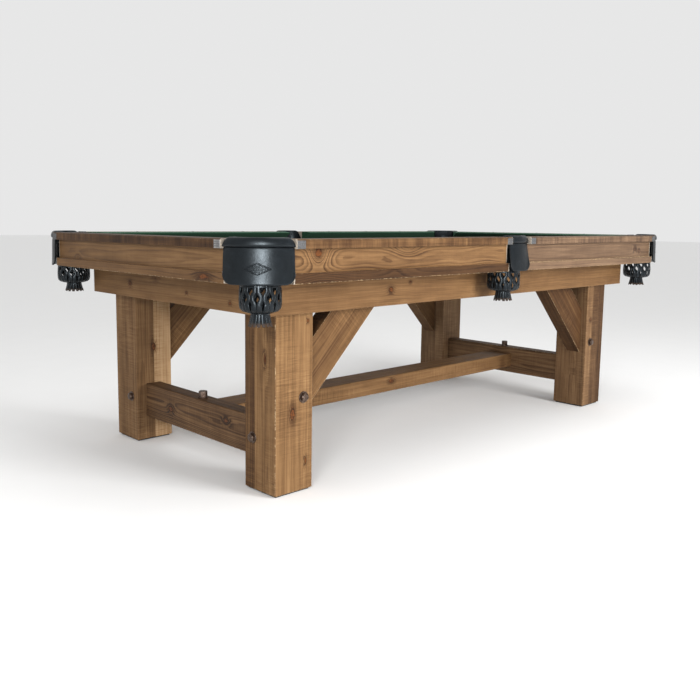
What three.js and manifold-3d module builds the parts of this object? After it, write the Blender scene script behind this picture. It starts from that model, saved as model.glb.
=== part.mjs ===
// Timber pool table, 8 ft size. Millimetres, +Z up, origin on the floor under the middle of the
// table, +X along its length. The front is the side at -Y and the left end is the one at -X.
//
// Four square legs carry a mitred beam frame. Stretchers and knee braces are tenoned into the legs.
// Three slates lie on liner frames on the beams, under one stretched bed cloth. Six rails with
// cushions and aprons close the playing surface, and six leather pockets with net baskets hang
// between the rail ends.

import * as THREE from 'three';
import { mergeVertices } from 'three/addons/utils/BufferGeometryUtils.js';
import Module from 'manifold-3d';

const wasm = await Module();
wasm.setup();

// ---------------------------------------------------------------- driving dimensions

const GAP = 0.3;                     // between faces that meet

// Playing surface and rails, in plan
const PLAY_LENGTH = 2235;            // cushion nose to cushion nose
const PLAY_WIDTH = 1118;
const RAIL_WIDTH = 139.5;            // cushion nose to the rail's outer face
const CUSHION_WIDTH = 50;
const CUSHION_NOSE = { halfHeight: 1, bevel: 4 };
const CUSHION_BACK_LIFT = 7;         // the cushion's back edge above the rail's underside
const SUB_RAIL_WIDTH = 93.2;         // cushion nose to the back of the rail's thick part
const APRON_FACE_INSET = 24;         // apron face behind the rail's outer face
const APRON_THICKNESS = 22;
const TRIM_INSET = 12;               // trim strip's face behind the rail's outer face
const CORNER_GAP = 150;              // rail end to the sharp corner the rails would meet at
const SIDE_GAP = 59.4;               // rail end to the middle of the long side
const CORNER_NOSE_INSET = 86;        // cushion tip to the sharp corner of the playing surface
const CORNER_FACING_RUN = 57;        // how far a corner facing slants along the rail
const SIDE_NOSE_INSET = 65;          // cushion tip to the middle of the long side
const SIDE_FACING_RUN = 12.5;

// Heights above the floor
const RAIL_TOP = 819;
const CAP_THICKNESS = 27;
const CAP_CHAMFER = 4;
const BED_HEIGHT = 776;              // top of the bed cloth
const NOSE_HEIGHT = 36;              // cushion nose above the bed cloth
const APRON_BOTTOM = 693;
const TRIM_TOP = 722.5;
const BEAM_BOTTOM = 586;

// Bed
const CLOTH_THICKNESS = 1;
const SLATE_THICKNESS = 25;
const SLATE_OVERHANG = 85;           // slate edge beyond the cushion nose
const SLATE_COUNT = 3;
const LINER_THICKNESS = 18;
const LINER_JOINT_BAR = 95;          // width of the liner bar beside a slate joint
const SLATE_CORNER_CUT = 72;         // radius of the notch round a corner pocket
const SLATE_SIDE_CUT = 62;

// Beam frame
const BEAM_HALF_LENGTH = 1095.7;
const BEAM_HALF_WIDTH = 544.5;
const BEAM_THICKNESS = 89;

// Legs and feet
const LEG_SIZE = 156;
const LEG_OUTER_X = 1025;
const LEG_OUTER_Y = 505;
const TIMBER_CHAMFER = 2.5;
const PAD_THICKNESS = 6;
const PAD_INSET = 8;

// Stretchers and knee braces
const PLANK_THICKNESS = 65;
const END_STRETCHER_INSET = 41;      // its outer face behind the leg's outer face
const END_STRETCHER_BOTTOM = 98;
const END_STRETCHER_TOP = 229;
const CENTRE_STRETCHER_HALF_WIDTH = 65.5;
const CENTRE_STRETCHER_BOTTOM = 130;
const CENTRE_STRETCHER_TOP = 198;
const BRACE_WIDTH = 146;
const BRACE_TOE_HEIGHT = 264;        // lowest point of a brace, on the leg's inner face
const BRACE_INSET = 30;              // its outer face behind the leg's outer face
const TENON_THICKNESS = 28;
const STRETCHER_TENON = { length: 80, shoulder: 20 };
const CENTRE_TENON = { length: 45, halfWidth: 45 };
const BRACE_TENON = { length: 58, shoulder: 26 };

// Bolts that pin the centre stretcher's tenons
const BOLT = { shank: 8, washer: 19, washerHeight: 3, head: 16, headHeight: 21, depth: 112 };

// Pockets. Their inset is from the outer face of the rails to the pocket's centre.
const CORNER_POCKET = { inset: 102.5, radius: 57, halfWidth: 102.7, lipTop: 824, earTop: 821 };
const SIDE_POCKET = { inset: 75.5, radius: 54, halfWidth: SIDE_GAP - GAP, lipTop: 824 };
const EAR_RADIUS = 66;               // outside of the iron's arms at a corner
const EAR_SWEEP = 131;               // degrees each arm runs round from the outermost point
const SHIELD_RADIUS = 152;           // plan radius of the leather shield
const SHIELD_REACH = 75.5;           // pocket centre to the shield's outermost point
const SHIELD_BOTTOM = 690;
const SKIRT_STEP = 2;                // skirt's face behind the rolled lip's
const SKIRT_THICKNESS = 10;
const SHIELD_TOP_ROUND = 16;
const SHIELD_BOTTOM_ROUND = 26;
const SIDE_LIP_SETBACK = 6;          // side pocket's lip starts this far behind the cushion's back

// The net and its tassel, as (radius, height): a straight cup with a flat bottom, drawn in at a neck.
const BASKET_PROFILE = [
  [0, 568], [34, 568], [36, 572], [31, 592], [28, 610], [44, 612], [55, 618], [60, 630], [61, 646],
  [58.5, 700], [58.5, 776], [55, 776], [55, 700], [57.5, 646], [56.5, 633], [52, 623], [42, 617], [0, 615],
];

// How finely round shapes are faceted
const BASKET_SEGMENTS = 20;
const HOLE_SEGMENTS = 48;
const SHIELD_SEGMENTS = 96;
const SHANK_SEGMENTS = 12;
const WASHER_SEGMENTS = 24;
const LIP_STEPS = 16;
const ARM_STEPS = 42;
const ROUND_STEPS = 6;

// ---------------------------------------------------------------- derived dimensions

const halfPlayX = PLAY_LENGTH / 2;
const halfPlayY = PLAY_WIDTH / 2;
const halfTableX = halfPlayX + RAIL_WIDTH;
const halfTableY = halfPlayY + RAIL_WIDTH;
const halfSlateX = halfPlayX + SLATE_OVERHANG;
const halfSlateY = halfPlayY + SLATE_OVERHANG;

const capBottom = RAIL_TOP - CAP_THICKNESS;
const railBottom = BED_HEIGHT + GAP;
const clothBottom = BED_HEIGHT - CLOTH_THICKNESS;
const slateTop = clothBottom - GAP;
const slateBottom = slateTop - SLATE_THICKNESS;
const linerTop = slateBottom - GAP;
const linerBottom = linerTop - LINER_THICKNESS;
const beamTop = linerBottom - GAP;
const legTop = BEAM_BOTTOM - GAP;
const legBottom = PAD_THICKNESS + GAP;

const legInnerX = LEG_OUTER_X - LEG_SIZE;
const legInnerY = LEG_OUTER_Y - LEG_SIZE;
const endStretcherOuter = LEG_OUTER_X - END_STRETCHER_INSET;
const endStretcherInner = endStretcherOuter - PLANK_THICKNESS;
const endStretcherMiddle = endStretcherOuter - PLANK_THICKNESS / 2;
const centreTenonMiddle = (CENTRE_STRETCHER_BOTTOM + CENTRE_STRETCHER_TOP) / 2;
const braceOuterY = LEG_OUTER_Y - BRACE_INSET;
const braceMiddleY = braceOuterY - PLANK_THICKNESS / 2;
const slateWidth = halfSlateX * 2 / SLATE_COUNT;
const slateJointX = slateWidth / 2;

const cornerPocketX = halfTableX - CORNER_POCKET.inset;
const cornerPocketY = halfTableY - CORNER_POCKET.inset;
const sidePocketY = halfTableY - SIDE_POCKET.inset;

// ---------------------------------------------------------------- materials

const PINE = { color: 0x8f6b45, roughness: 0.72, metalness: 0 };
const ROUGH_PINE = { color: 0x9a7750, roughness: 0.8, metalness: 0 };
const SLATE = { color: 0x4b5154, roughness: 0.6, metalness: 0 };
const CLOTH = { color: 0x1d3d28, roughness: 0.95, metalness: 0 };
const LEATHER = { color: 0x15181b, roughness: 0.35, metalness: 0 };
const IRON = { color: 0x3a2e27, roughness: 0.55, metalness: 0.8 };
const RUBBER = { color: 0x1b1a19, roughness: 0.9, metalness: 0 };

// ---------------------------------------------------------------- shape helpers

// A box between any two opposite corners.
function block(a, b) {
  const size = a.map((value, axis) => Math.abs(b[axis] - value));
  const middle = a.map((value, axis) => (b[axis] + value) / 2);
  return new THREE.BoxGeometry(...size).translate(...middle);
}

function shapeOf(outline) {
  return new THREE.Shape(outline.map(([u, v]) => new THREE.Vector2(u, v)));
}

// An outline in plan, raised from one height to another.
function slab(outline, bottom, top) {
  const options = { depth: top - bottom, bevelEnabled: false };
  return new THREE.ExtrudeGeometry(shapeOf(outline), options).translate(0, 0, bottom);
}

// A section in (y, z), drawn out along X.
function bar(section, from, to) {
  const options = { depth: to - from, bevelEnabled: false };
  const turn = new THREE.Matrix4().makeBasis(
    new THREE.Vector3(0, 1, 0), new THREE.Vector3(0, 0, 1), new THREE.Vector3(1, 0, 0));
  return new THREE.ExtrudeGeometry(shapeOf(section), options).applyMatrix4(turn).translate(from, 0, 0);
}

// An outline in (x, z), thickened along Y.
function plate(outline, from, to) {
  const options = { depth: Math.abs(to - from), bevelEnabled: false };
  const turned = new THREE.ExtrudeGeometry(shapeOf(outline), options).rotateX(Math.PI / 2);
  return turned.translate(0, Math.max(from, to), 0);
}

// An upright cylinder or regular prism.
function post(radius, bottom, top, segments, x = 0, y = 0) {
  const upright = new THREE.CylinderGeometry(radius, radius, top - bottom, segments).rotateX(Math.PI / 2);
  return upright.translate(x, y, (top + bottom) / 2);
}

// A rectangle with its four corners cut off at 45 degrees.
function chamfered(halfU, halfV, cut, u = 0, v = 0) {
  return [
    [u + halfU, v - halfV + cut], [u + halfU, v + halfV - cut],
    [u + halfU - cut, v + halfV], [u - halfU + cut, v + halfV],
    [u - halfU, v + halfV - cut], [u - halfU, v - halfV + cut],
    [u - halfU + cut, v - halfV], [u + halfU - cut, v - halfV],
  ];
}

// Points on an arc about (x, y), both ends included. Angles are in degrees.
function arc(x, y, radius, start, end, steps) {
  return Array.from({ length: steps + 1 }, (_, step) => {
    const angle = THREE.MathUtils.degToRad(start + (end - start) * step / steps);
    return [x + radius * Math.cos(angle), y + radius * Math.sin(angle)];
  });
}

function toSolid(geometry) {
  const bare = geometry.clone();
  bare.deleteAttribute('normal');
  bare.deleteAttribute('uv');
  const merged = mergeVertices(bare);
  return new wasm.Manifold(new wasm.Mesh({
    numProp: 3,
    vertProperties: Float32Array.from(merged.attributes.position.array),
    triVerts: Uint32Array.from(merged.index.array),
  }));
}

function toGeometry(solid) {
  const { vertProperties, triVerts } = solid.getMesh();
  const geometry = new THREE.BufferGeometry();
  geometry.setAttribute('position', new THREE.BufferAttribute(vertProperties, 3));
  geometry.setIndex(new THREE.BufferAttribute(triVerts, 1));
  return geometry;
}

// The first shape with every further one joined on.
function join(first, ...others) {
  return others.reduce((solid, other) => solid.add(toSolid(other)), toSolid(first));
}

// A solid with every listed shape cut away.
function cut(solid, shapes) {
  return shapes.reduce((rest, shape) => rest.subtract(toSolid(shape)), solid);
}

function place(parent, name, geometry, look) {
  const mesh = new THREE.Mesh(geometry, new THREE.MeshStandardMaterial({ ...look, flatShading: true }));
  mesh.name = name;
  parent.add(mesh);
}

// ---------------------------------------------------------------- legs, stretchers, braces

const table = new THREE.Group();

const CORNERS = [
  { name: 'front_left', sx: -1, sy: -1 },
  { name: 'front_right', sx: 1, sy: -1 },
  { name: 'back_left', sx: -1, sy: 1 },
  { name: 'back_right', sx: 1, sy: 1 },
];

// The end stretcher's tenon, or with play the mortise that takes it.
function stretcherTenon({ sx, sy }, play) {
  const halfThickness = TENON_THICKNESS / 2 + play;
  return block(
    [sx * (endStretcherMiddle - halfThickness), sy * (legInnerY - 2 * GAP),
      END_STRETCHER_BOTTOM + STRETCHER_TENON.shoulder - play],
    [sx * (endStretcherMiddle + halfThickness), sy * (legInnerY + STRETCHER_TENON.length + play),
      END_STRETCHER_TOP - STRETCHER_TENON.shoulder + play]);
}

const braceHeelHeight = BRACE_TOE_HEIGHT + BRACE_WIDTH * Math.SQRT2;

function braceTenon({ sx, sy }, play) {
  const halfThickness = TENON_THICKNESS / 2 + play;
  return block(
    [sx * (legInnerX - 2 * GAP), sy * (braceMiddleY - halfThickness),
      BRACE_TOE_HEIGHT + BRACE_TENON.shoulder - play],
    [sx * (legInnerX + BRACE_TENON.length + play), sy * (braceMiddleY + halfThickness),
      braceHeelHeight - BRACE_TENON.shoulder + play]);
}

function leg(corner) {
  const middleX = corner.sx * (LEG_OUTER_X - LEG_SIZE / 2);
  const middleY = corner.sy * (LEG_OUTER_Y - LEG_SIZE / 2);
  const outline = chamfered(LEG_SIZE / 2, LEG_SIZE / 2, TIMBER_CHAMFER, middleX, middleY);
  const mortises = [stretcherTenon(corner, GAP), braceTenon(corner, GAP)];
  return toGeometry(cut(toSolid(slab(outline, legBottom, legTop)), mortises));
}

function footPad({ sx, sy }) {
  return block(
    [sx * (legInnerX + PAD_INSET), sy * (legInnerY + PAD_INSET), 0],
    [sx * (LEG_OUTER_X - PAD_INSET), sy * (LEG_OUTER_Y - PAD_INSET), PAD_THICKNESS]);
}

function kneeBrace(corner) {
  const reach = BEAM_BOTTOM - BRACE_TOE_HEIGHT;
  const legFace = legInnerX - GAP;
  const outline = [
    [corner.sx * legFace, BRACE_TOE_HEIGHT],
    [corner.sx * legFace, braceHeelHeight],
    [corner.sx * (legFace - (legTop - braceHeelHeight)), legTop],
    [corner.sx * (legFace - reach + GAP), legTop],
  ];
  const board = plate(outline, corner.sy * (braceOuterY - PLANK_THICKNESS), corner.sy * braceOuterY);
  return toGeometry(join(board, braceTenon(corner, 0)));
}

for (const corner of CORNERS) {
  place(table, `foot_pad_${corner.name}`, footPad(corner), RUBBER);
  place(table, `leg_${corner.name}`, leg(corner), ROUGH_PINE);
  place(table, `knee_brace_${corner.name}`, kneeBrace(corner), ROUGH_PINE);
}

// The centre stretcher's tenon, or with play the mortise in the end stretcher.
function centreTenon(sx, play) {
  return block(
    [sx * (endStretcherInner - 2 * GAP), -CENTRE_TENON.halfWidth - play,
      centreTenonMiddle - TENON_THICKNESS / 2 - play],
    [sx * (endStretcherInner + CENTRE_TENON.length + play), CENTRE_TENON.halfWidth + play,
      centreTenonMiddle + TENON_THICKNESS / 2 + play]);
}

function boltHole(sx) {
  const bottom = END_STRETCHER_TOP - BOLT.depth - GAP;
  const top = END_STRETCHER_TOP + GAP;
  return post(BOLT.shank + GAP, bottom, top, SHANK_SEGMENTS, sx * endStretcherMiddle);
}

function endStretcher(sx) {
  const halfLength = legInnerY - GAP;
  const middle = (END_STRETCHER_BOTTOM + END_STRETCHER_TOP) / 2;
  const halfHeight = (END_STRETCHER_TOP - END_STRETCHER_BOTTOM) / 2;
  const across = sx * endStretcherMiddle;
  const section = chamfered(PLANK_THICKNESS / 2, halfHeight, TIMBER_CHAMFER, across, middle);
  const plank = plate(section, -halfLength, halfLength);
  const tenons = [-1, 1].map((sy) => stretcherTenon({ sx, sy }, 0));
  return toGeometry(cut(join(plank, ...tenons), [centreTenon(sx, GAP), boltHole(sx)]));
}

function centreStretcher() {
  const halfLength = endStretcherInner - GAP;
  const halfHeight = (CENTRE_STRETCHER_TOP - CENTRE_STRETCHER_BOTTOM) / 2;
  const section = chamfered(CENTRE_STRETCHER_HALF_WIDTH, halfHeight, TIMBER_CHAMFER, 0, centreTenonMiddle);
  const plank = bar(section, -halfLength, halfLength);
  const whole = join(plank, centreTenon(-1, 0), centreTenon(1, 0));
  return toGeometry(cut(whole, [boltHole(-1), boltHole(1)]));
}

function stretcherBolt(sx) {
  const x = sx * endStretcherMiddle;
  const washerBottom = END_STRETCHER_TOP + GAP;
  const washerTop = washerBottom + BOLT.washerHeight;
  const shank = post(BOLT.shank, END_STRETCHER_TOP - BOLT.depth, washerTop, SHANK_SEGMENTS, x);
  const washer = post(BOLT.washer, washerBottom, washerTop, WASHER_SEGMENTS, x);
  const head = post(BOLT.head, washerTop - GAP, washerTop + BOLT.headHeight, 6, x);
  return toGeometry(join(shank, washer, head));
}

for (const [end, sx] of [['left', -1], ['right', 1]]) {
  place(table, `end_stretcher_${end}`, endStretcher(sx), PINE);
  place(table, `stretcher_bolt_${end}`, stretcherBolt(sx), IRON);
}
place(table, 'centre_stretcher', centreStretcher(), PINE);

// ---------------------------------------------------------------- beam frame, slates, cloth

// A mitred beam along X, whose outer face is at y.
function beam(halfLength, y) {
  const end = halfLength - GAP * Math.SQRT1_2;
  const inner = end - BEAM_THICKNESS;
  return slab([[-end, y], [-inner, y - BEAM_THICKNESS], [inner, y - BEAM_THICKNESS], [end, y]],
    BEAM_BOTTOM, beamTop);
}

// Round notches through the bed, one about each pocket.
function pocketNotches(bottom, top) {
  const notch = (radius, x, y) => post(radius, bottom - GAP, top + GAP, HOLE_SEGMENTS, x, y);
  const corners = CORNERS.map(({ sx, sy }) =>
    notch(SLATE_CORNER_CUT, sx * cornerPocketX, sy * cornerPocketY));
  const sides = [-1, 1].map((sy) => notch(SLATE_SIDE_CUT, 0, sy * sidePocketY));
  return [...corners, ...sides];
}

// The stretch of the bed that one slate covers.
function slateSpan(index) {
  const from = -halfSlateX + slateWidth * index;
  const to = from + slateWidth;
  return [from + (index > 0 ? GAP / 2 : 0), to - (index < SLATE_COUNT - 1 ? GAP / 2 : 0)];
}

function slate(index) {
  const [from, to] = slateSpan(index);
  const board = block([from, -halfSlateY, slateBottom], [to, halfSlateY, slateTop]);
  return toGeometry(cut(toSolid(board), pocketNotches(slateBottom, slateTop)));
}

// The wooden frame bonded under a slate. Its bars lie on the beams and beside the slate joints.
function slateLiner(index) {
  const [from, to] = slateSpan(index);
  const holeFrom = index === 0 ? -BEAM_HALF_LENGTH + BEAM_THICKNESS : from + LINER_JOINT_BAR;
  const holeTo = index === SLATE_COUNT - 1 ? BEAM_HALF_LENGTH - BEAM_THICKNESS : to - LINER_JOINT_BAR;
  const holeHalfWidth = BEAM_HALF_WIDTH - BEAM_THICKNESS;
  const board = block([from, -halfSlateY, linerBottom], [to, halfSlateY, linerTop]);
  const hole = block([holeFrom, -holeHalfWidth, linerBottom - GAP], [holeTo, holeHalfWidth, linerTop + GAP]);
  return toGeometry(cut(toSolid(board), [hole, ...pocketNotches(linerBottom, linerTop)]));
}

function bedCloth() {
  const sheet = block([-halfSlateX, -halfSlateY, clothBottom], [halfSlateX, halfSlateY, BED_HEIGHT]);
  return toGeometry(cut(toSolid(sheet), pocketNotches(clothBottom, BED_HEIGHT)));
}

['left', 'middle', 'right'].forEach((position, index) => {
  place(table, `slate_${position}`, slate(index), SLATE);
  place(table, `slate_liner_${position}`, slateLiner(index), PINE);
});
place(table, 'bed_cloth', bedCloth(), CLOTH);

for (const [end, sx] of [['left', -1], ['right', 1]]) {
  const halfLength = BEAM_HALF_WIDTH - BEAM_THICKNESS - GAP;
  const near = sx * slateJointX - BEAM_THICKNESS / 2;
  const crossBeam = block([near, -halfLength, BEAM_BOTTOM], [near + BEAM_THICKNESS, halfLength, beamTop]);
  place(table, `cross_beam_${end}`, crossBeam, PINE);
}

// ---------------------------------------------------------------- rails, aprons, cushions

// In a side's own frame x runs along the side and y outward, from the cushion's nose.
const apronFace = RAIL_WIDTH - APRON_FACE_INSET;
const railSection = [
  [CUSHION_WIDTH + GAP, railBottom], [SUB_RAIL_WIDTH, railBottom], [SUB_RAIL_WIDTH, capBottom],
  [RAIL_WIDTH, capBottom], [RAIL_WIDTH, RAIL_TOP - CAP_CHAMFER], [RAIL_WIDTH - CAP_CHAMFER, RAIL_TOP],
  [CUSHION_WIDTH + GAP, RAIL_TOP],
];
const apronSection = [
  [apronFace - APRON_THICKNESS, APRON_BOTTOM], [RAIL_WIDTH - TRIM_INSET, APRON_BOTTOM],
  [RAIL_WIDTH - TRIM_INSET, TRIM_TOP], [apronFace, TRIM_TOP],
  [apronFace, capBottom - GAP], [apronFace - APRON_THICKNESS, capBottom - GAP],
];
const noseZ = BED_HEIGHT + NOSE_HEIGHT;
const cushionSection = [
  [0, noseZ - CUSHION_NOSE.halfHeight], [0, noseZ + CUSHION_NOSE.halfHeight],
  [CUSHION_NOSE.bevel, noseZ + CUSHION_NOSE.bevel], [CUSHION_WIDTH, RAIL_TOP],
  [CUSHION_WIDTH, railBottom + CUSHION_BACK_LIFT], [CUSHION_NOSE.bevel, noseZ - CUSHION_NOSE.bevel],
];

// Where one stretch of rail starts and ends along its side, and where its cushion does.
function stretchOf(halfPlay, halfTable, hasSidePocket) {
  const railEnd = halfTable - CORNER_GAP;
  const noseEnd = halfPlay - CORNER_NOSE_INSET;
  const corner = { rail: railEnd, nose: noseEnd, back: noseEnd + CORNER_FACING_RUN };
  const side = { rail: SIDE_GAP, nose: SIDE_NOSE_INSET, back: SIDE_NOSE_INSET - SIDE_FACING_RUN };
  const opposite = (end) => ({ rail: -end.rail, nose: -end.nose, back: -end.back });
  if (!hasSidePocket) {
    return [[opposite(corner), corner]];
  }
  return [[opposite(corner), opposite(side)], [side, corner]];
}

function rail([start, end], halfTable) {
  const pocketX = halfTable - CORNER_POCKET.inset;
  const pocketY = RAIL_WIDTH - CORNER_POCKET.inset;
  const bite = (x) => post(EAR_RADIUS + GAP, railBottom - GAP, RAIL_TOP + GAP, HOLE_SEGMENTS, x, pocketY);
  const bites = [bite(-pocketX), bite(pocketX)];
  return toGeometry(cut(toSolid(bar(railSection, start.rail, end.rail)), bites));
}

function cushion([start, end]) {
  const strip = bar(cushionSection, Math.min(start.nose, start.back), Math.max(end.nose, end.back));
  const plan = [[start.nose, -GAP], [end.nose, -GAP],
    [end.nose, 0], [end.back, CUSHION_WIDTH], [end.back, CUSHION_WIDTH + GAP],
    [start.back, CUSHION_WIDTH + GAP], [start.back, CUSHION_WIDTH], [start.nose, 0]];
  return toGeometry(toSolid(strip).intersect(toSolid(slab(plan, railBottom, RAIL_TOP + GAP))));
}

// The halves of the table along a side and, for the nose line, outward from its middle.
const LONG_SIDE = {
  halfPlay: halfPlayX, halfTable: halfTableX, noseLine: halfPlayY,
  halfBeam: BEAM_HALF_LENGTH, beamFace: BEAM_HALF_WIDTH, hasSidePocket: true,
};
const SHORT_SIDE = {
  halfPlay: halfPlayY, halfTable: halfTableY, noseLine: halfPlayX,
  halfBeam: BEAM_HALF_WIDTH, beamFace: BEAM_HALF_LENGTH, hasSidePocket: false,
};
const SIDES = [
  { ...LONG_SIDE, beam: 'side_beam_back', stretches: ['back_left', 'back_right'], turn: 0 },
  { ...LONG_SIDE, beam: 'side_beam_front', stretches: ['front_right', 'front_left'], turn: 180 },
  { ...SHORT_SIDE, beam: 'end_beam_left', stretches: ['left_end'], turn: 90 },
  { ...SHORT_SIDE, beam: 'end_beam_right', stretches: ['right_end'], turn: -90 },
];

for (const side of SIDES) {
  const turned = new THREE.Group();
  turned.rotation.z = THREE.MathUtils.degToRad(side.turn);
  table.add(turned);
  place(turned, side.beam, beam(side.halfBeam, side.beamFace), PINE);

  const border = new THREE.Group();
  border.position.y = side.noseLine;
  turned.add(border);
  stretchOf(side.halfPlay, side.halfTable, side.hasSidePocket).forEach((stretch, index) => {
    const name = side.stretches[index];
    place(border, `rail_${name}`, rail(stretch, side.halfTable), PINE);
    place(border, `apron_${name}`, bar(apronSection, stretch[0].rail, stretch[1].rail), PINE);
    place(border, `cushion_${name}`, cushion(stretch), CLOTH);
  });
}

// ---------------------------------------------------------------- pockets

// A pocket's own frame has its centre in the middle of the hole and +Y outward.
const shieldCentre = SHIELD_REACH - SHIELD_RADIUS;

// The lip's plan inside the shield's arc ends at the rail ends.
function lipPlan(halfWidth, innerPoints) {
  const halfAngle = THREE.MathUtils.radToDeg(Math.asin(halfWidth / SHIELD_RADIUS));
  const outer = arc(0, shieldCentre, SHIELD_RADIUS, 90 - halfAngle, 90 + halfAngle, LIP_STEPS);
  return [...outer, ...innerPoints];
}

// The shield's outline from outside: a rectangle with rounded corners, in (x, z).
function shieldElevation(halfWidth, top) {
  const low = SHIELD_BOTTOM + SHIELD_BOTTOM_ROUND;
  const high = top - SHIELD_TOP_ROUND;
  const wideLow = halfWidth - SHIELD_BOTTOM_ROUND;
  const wideHigh = halfWidth - SHIELD_TOP_ROUND;
  return [
    ...arc(wideHigh, high, SHIELD_TOP_ROUND, 0, 90, ROUND_STEPS),
    ...arc(-wideHigh, high, SHIELD_TOP_ROUND, 90, 180, ROUND_STEPS),
    ...arc(-wideLow, low, SHIELD_BOTTOM_ROUND, 180, 270, ROUND_STEPS),
    ...arc(wideLow, low, SHIELD_BOTTOM_ROUND, 270, 360, ROUND_STEPS),
  ];
}

// The leather that hangs below the lip, between two arcs about the shield's centre.
function skirt(plan) {
  const face = SHIELD_RADIUS - SKIRT_STEP;
  const disc = (radius) =>
    toSolid(post(radius, SHIELD_BOTTOM - GAP, RAIL_TOP, SHIELD_SEGMENTS, 0, shieldCentre));
  const column = toSolid(slab(plan, SHIELD_BOTTOM, railBottom + 2 * GAP));
  return column.intersect(disc(face)).subtract(disc(face - SKIRT_THICKNESS));
}

// Iron, rolled leather lip and hanging skirt in one piece. The ring is the iron's part of it.
function shield(pocket, plan, ring) {
  const { radius, lipTop, halfWidth } = pocket;
  const hole = post(radius, railBottom - GAP, lipTop + GAP, HOLE_SEGMENTS);
  const outline = plate(shieldElevation(halfWidth, lipTop), -SHIELD_RADIUS, SHIELD_RADIUS);
  return toGeometry(cut(ring, [hole]).add(skirt(plan)).intersect(toSolid(outline)));
}

// At a corner the rail ends stand at 45 degrees in the pocket's frame. The plan follows them
// into the hole, and two arms run on round it inside the rails.
function cornerShield() {
  const railEnd = CORNER_GAP - CORNER_POCKET.inset - GAP;
  const inner = CORNER_POCKET.radius / 2;
  const across = (railEnd + inner) * Math.SQRT1_2;
  const back = (inner - railEnd) * Math.SQRT1_2;
  const plan = lipPlan(CORNER_POCKET.halfWidth, [[-across, back], [across, back]]);
  const armPlan = [
    ...arc(0, 0, EAR_RADIUS, 90 - EAR_SWEEP, 90 + EAR_SWEEP, ARM_STEPS),
    ...arc(0, 0, CORNER_POCKET.radius - SKIRT_STEP, 90 + EAR_SWEEP, 90 - EAR_SWEEP, ARM_STEPS),
  ];
  const arms = slab(armPlan, railBottom, CORNER_POCKET.earTop);
  return shield(CORNER_POCKET, plan, join(slab(plan, railBottom, CORNER_POCKET.lipTop), arms));
}

function sideShield() {
  const { halfWidth, inset, lipTop } = SIDE_POCKET;
  const back = CUSHION_WIDTH + SIDE_LIP_SETBACK - (RAIL_WIDTH - inset);
  const plan = lipPlan(halfWidth, [[-halfWidth, back], [halfWidth, back]]);
  return shield(SIDE_POCKET, plan, toSolid(slab(plan, railBottom, lipTop)));
}

function basket() {
  const profile = BASKET_PROFILE.map(([radius, height]) => new THREE.Vector2(radius, height));
  return new THREE.LatheGeometry(profile, BASKET_SEGMENTS).rotateX(Math.PI / 2);
}

const POCKETS = [
  { name: 'back_right', x: cornerPocketX, y: cornerPocketY, turn: -45, shape: cornerShield },
  { name: 'back_left', x: -cornerPocketX, y: cornerPocketY, turn: 45, shape: cornerShield },
  { name: 'front_left', x: -cornerPocketX, y: -cornerPocketY, turn: 135, shape: cornerShield },
  { name: 'front_right', x: cornerPocketX, y: -cornerPocketY, turn: -135, shape: cornerShield },
  { name: 'back_middle', x: 0, y: sidePocketY, turn: 0, shape: sideShield },
  { name: 'front_middle', x: 0, y: -sidePocketY, turn: 180, shape: sideShield },
];

for (const pocket of POCKETS) {
  const frame = new THREE.Group();
  frame.position.set(pocket.x, pocket.y, 0);
  frame.rotation.z = THREE.MathUtils.degToRad(pocket.turn);
  table.add(frame);
  place(frame, `pocket_shield_${pocket.name}`, pocket.shape(), LEATHER);
  place(frame, `pocket_basket_${pocket.name}`, basket(), LEATHER);
}

export default table;
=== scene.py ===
"""The looks of a rustic timber pool table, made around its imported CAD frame.

Metres, +Z up, the frame's own origin. The front is the side at -Y and the left end the one at -X.
The timber, slate, bolts and foot pads keep their CAD shapes and get finishes and eased edges.
The cloth, cushions, leather pockets and net baskets are made here and replace their CAD solids.
"""

import random
from math import asin, atan2, cos, exp, pi, radians, sin, sqrt

import bmesh
import bpy
from mathutils import Matrix, Vector


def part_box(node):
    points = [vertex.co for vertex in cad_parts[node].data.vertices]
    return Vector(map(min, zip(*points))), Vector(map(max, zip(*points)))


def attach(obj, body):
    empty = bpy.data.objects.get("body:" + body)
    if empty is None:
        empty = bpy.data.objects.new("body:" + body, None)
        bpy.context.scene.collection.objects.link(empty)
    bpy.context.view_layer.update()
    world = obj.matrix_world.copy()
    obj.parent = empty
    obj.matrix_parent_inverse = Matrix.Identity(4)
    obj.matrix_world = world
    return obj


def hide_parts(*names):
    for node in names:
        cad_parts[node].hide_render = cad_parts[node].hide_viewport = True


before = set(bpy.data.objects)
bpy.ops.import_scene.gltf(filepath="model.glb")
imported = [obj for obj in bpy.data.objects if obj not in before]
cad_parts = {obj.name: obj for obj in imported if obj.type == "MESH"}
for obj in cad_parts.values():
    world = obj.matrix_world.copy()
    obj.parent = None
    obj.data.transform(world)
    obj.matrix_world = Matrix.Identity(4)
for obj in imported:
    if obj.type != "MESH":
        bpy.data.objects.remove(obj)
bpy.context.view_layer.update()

MM = 0.001
X, Y, Z = Vector((1, 0, 0)), Vector((0, 1, 0)), Vector((0, 0, 1))
CORNERS = {"front_left": (-1, -1), "front_right": (1, -1), "back_left": (-1, 1), "back_right": (1, 1)}
ENDS = {"left": -1, "right": 1}

# ---- driving dimensions

# Rails and cushions, measured outward from a cushion's nose
RAIL_WIDTH = 139.5 * MM
CAP_HEIGHT = 27 * MM
CUSHION_WIDTH = 50 * MM
TRIM_TOP = 722.5 * MM
NOSE_HEIGHT = 812 * MM
NOSE_RADIUS = 3 * MM
CUSHION_BACK_BOTTOM = 783.3 * MM
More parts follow.
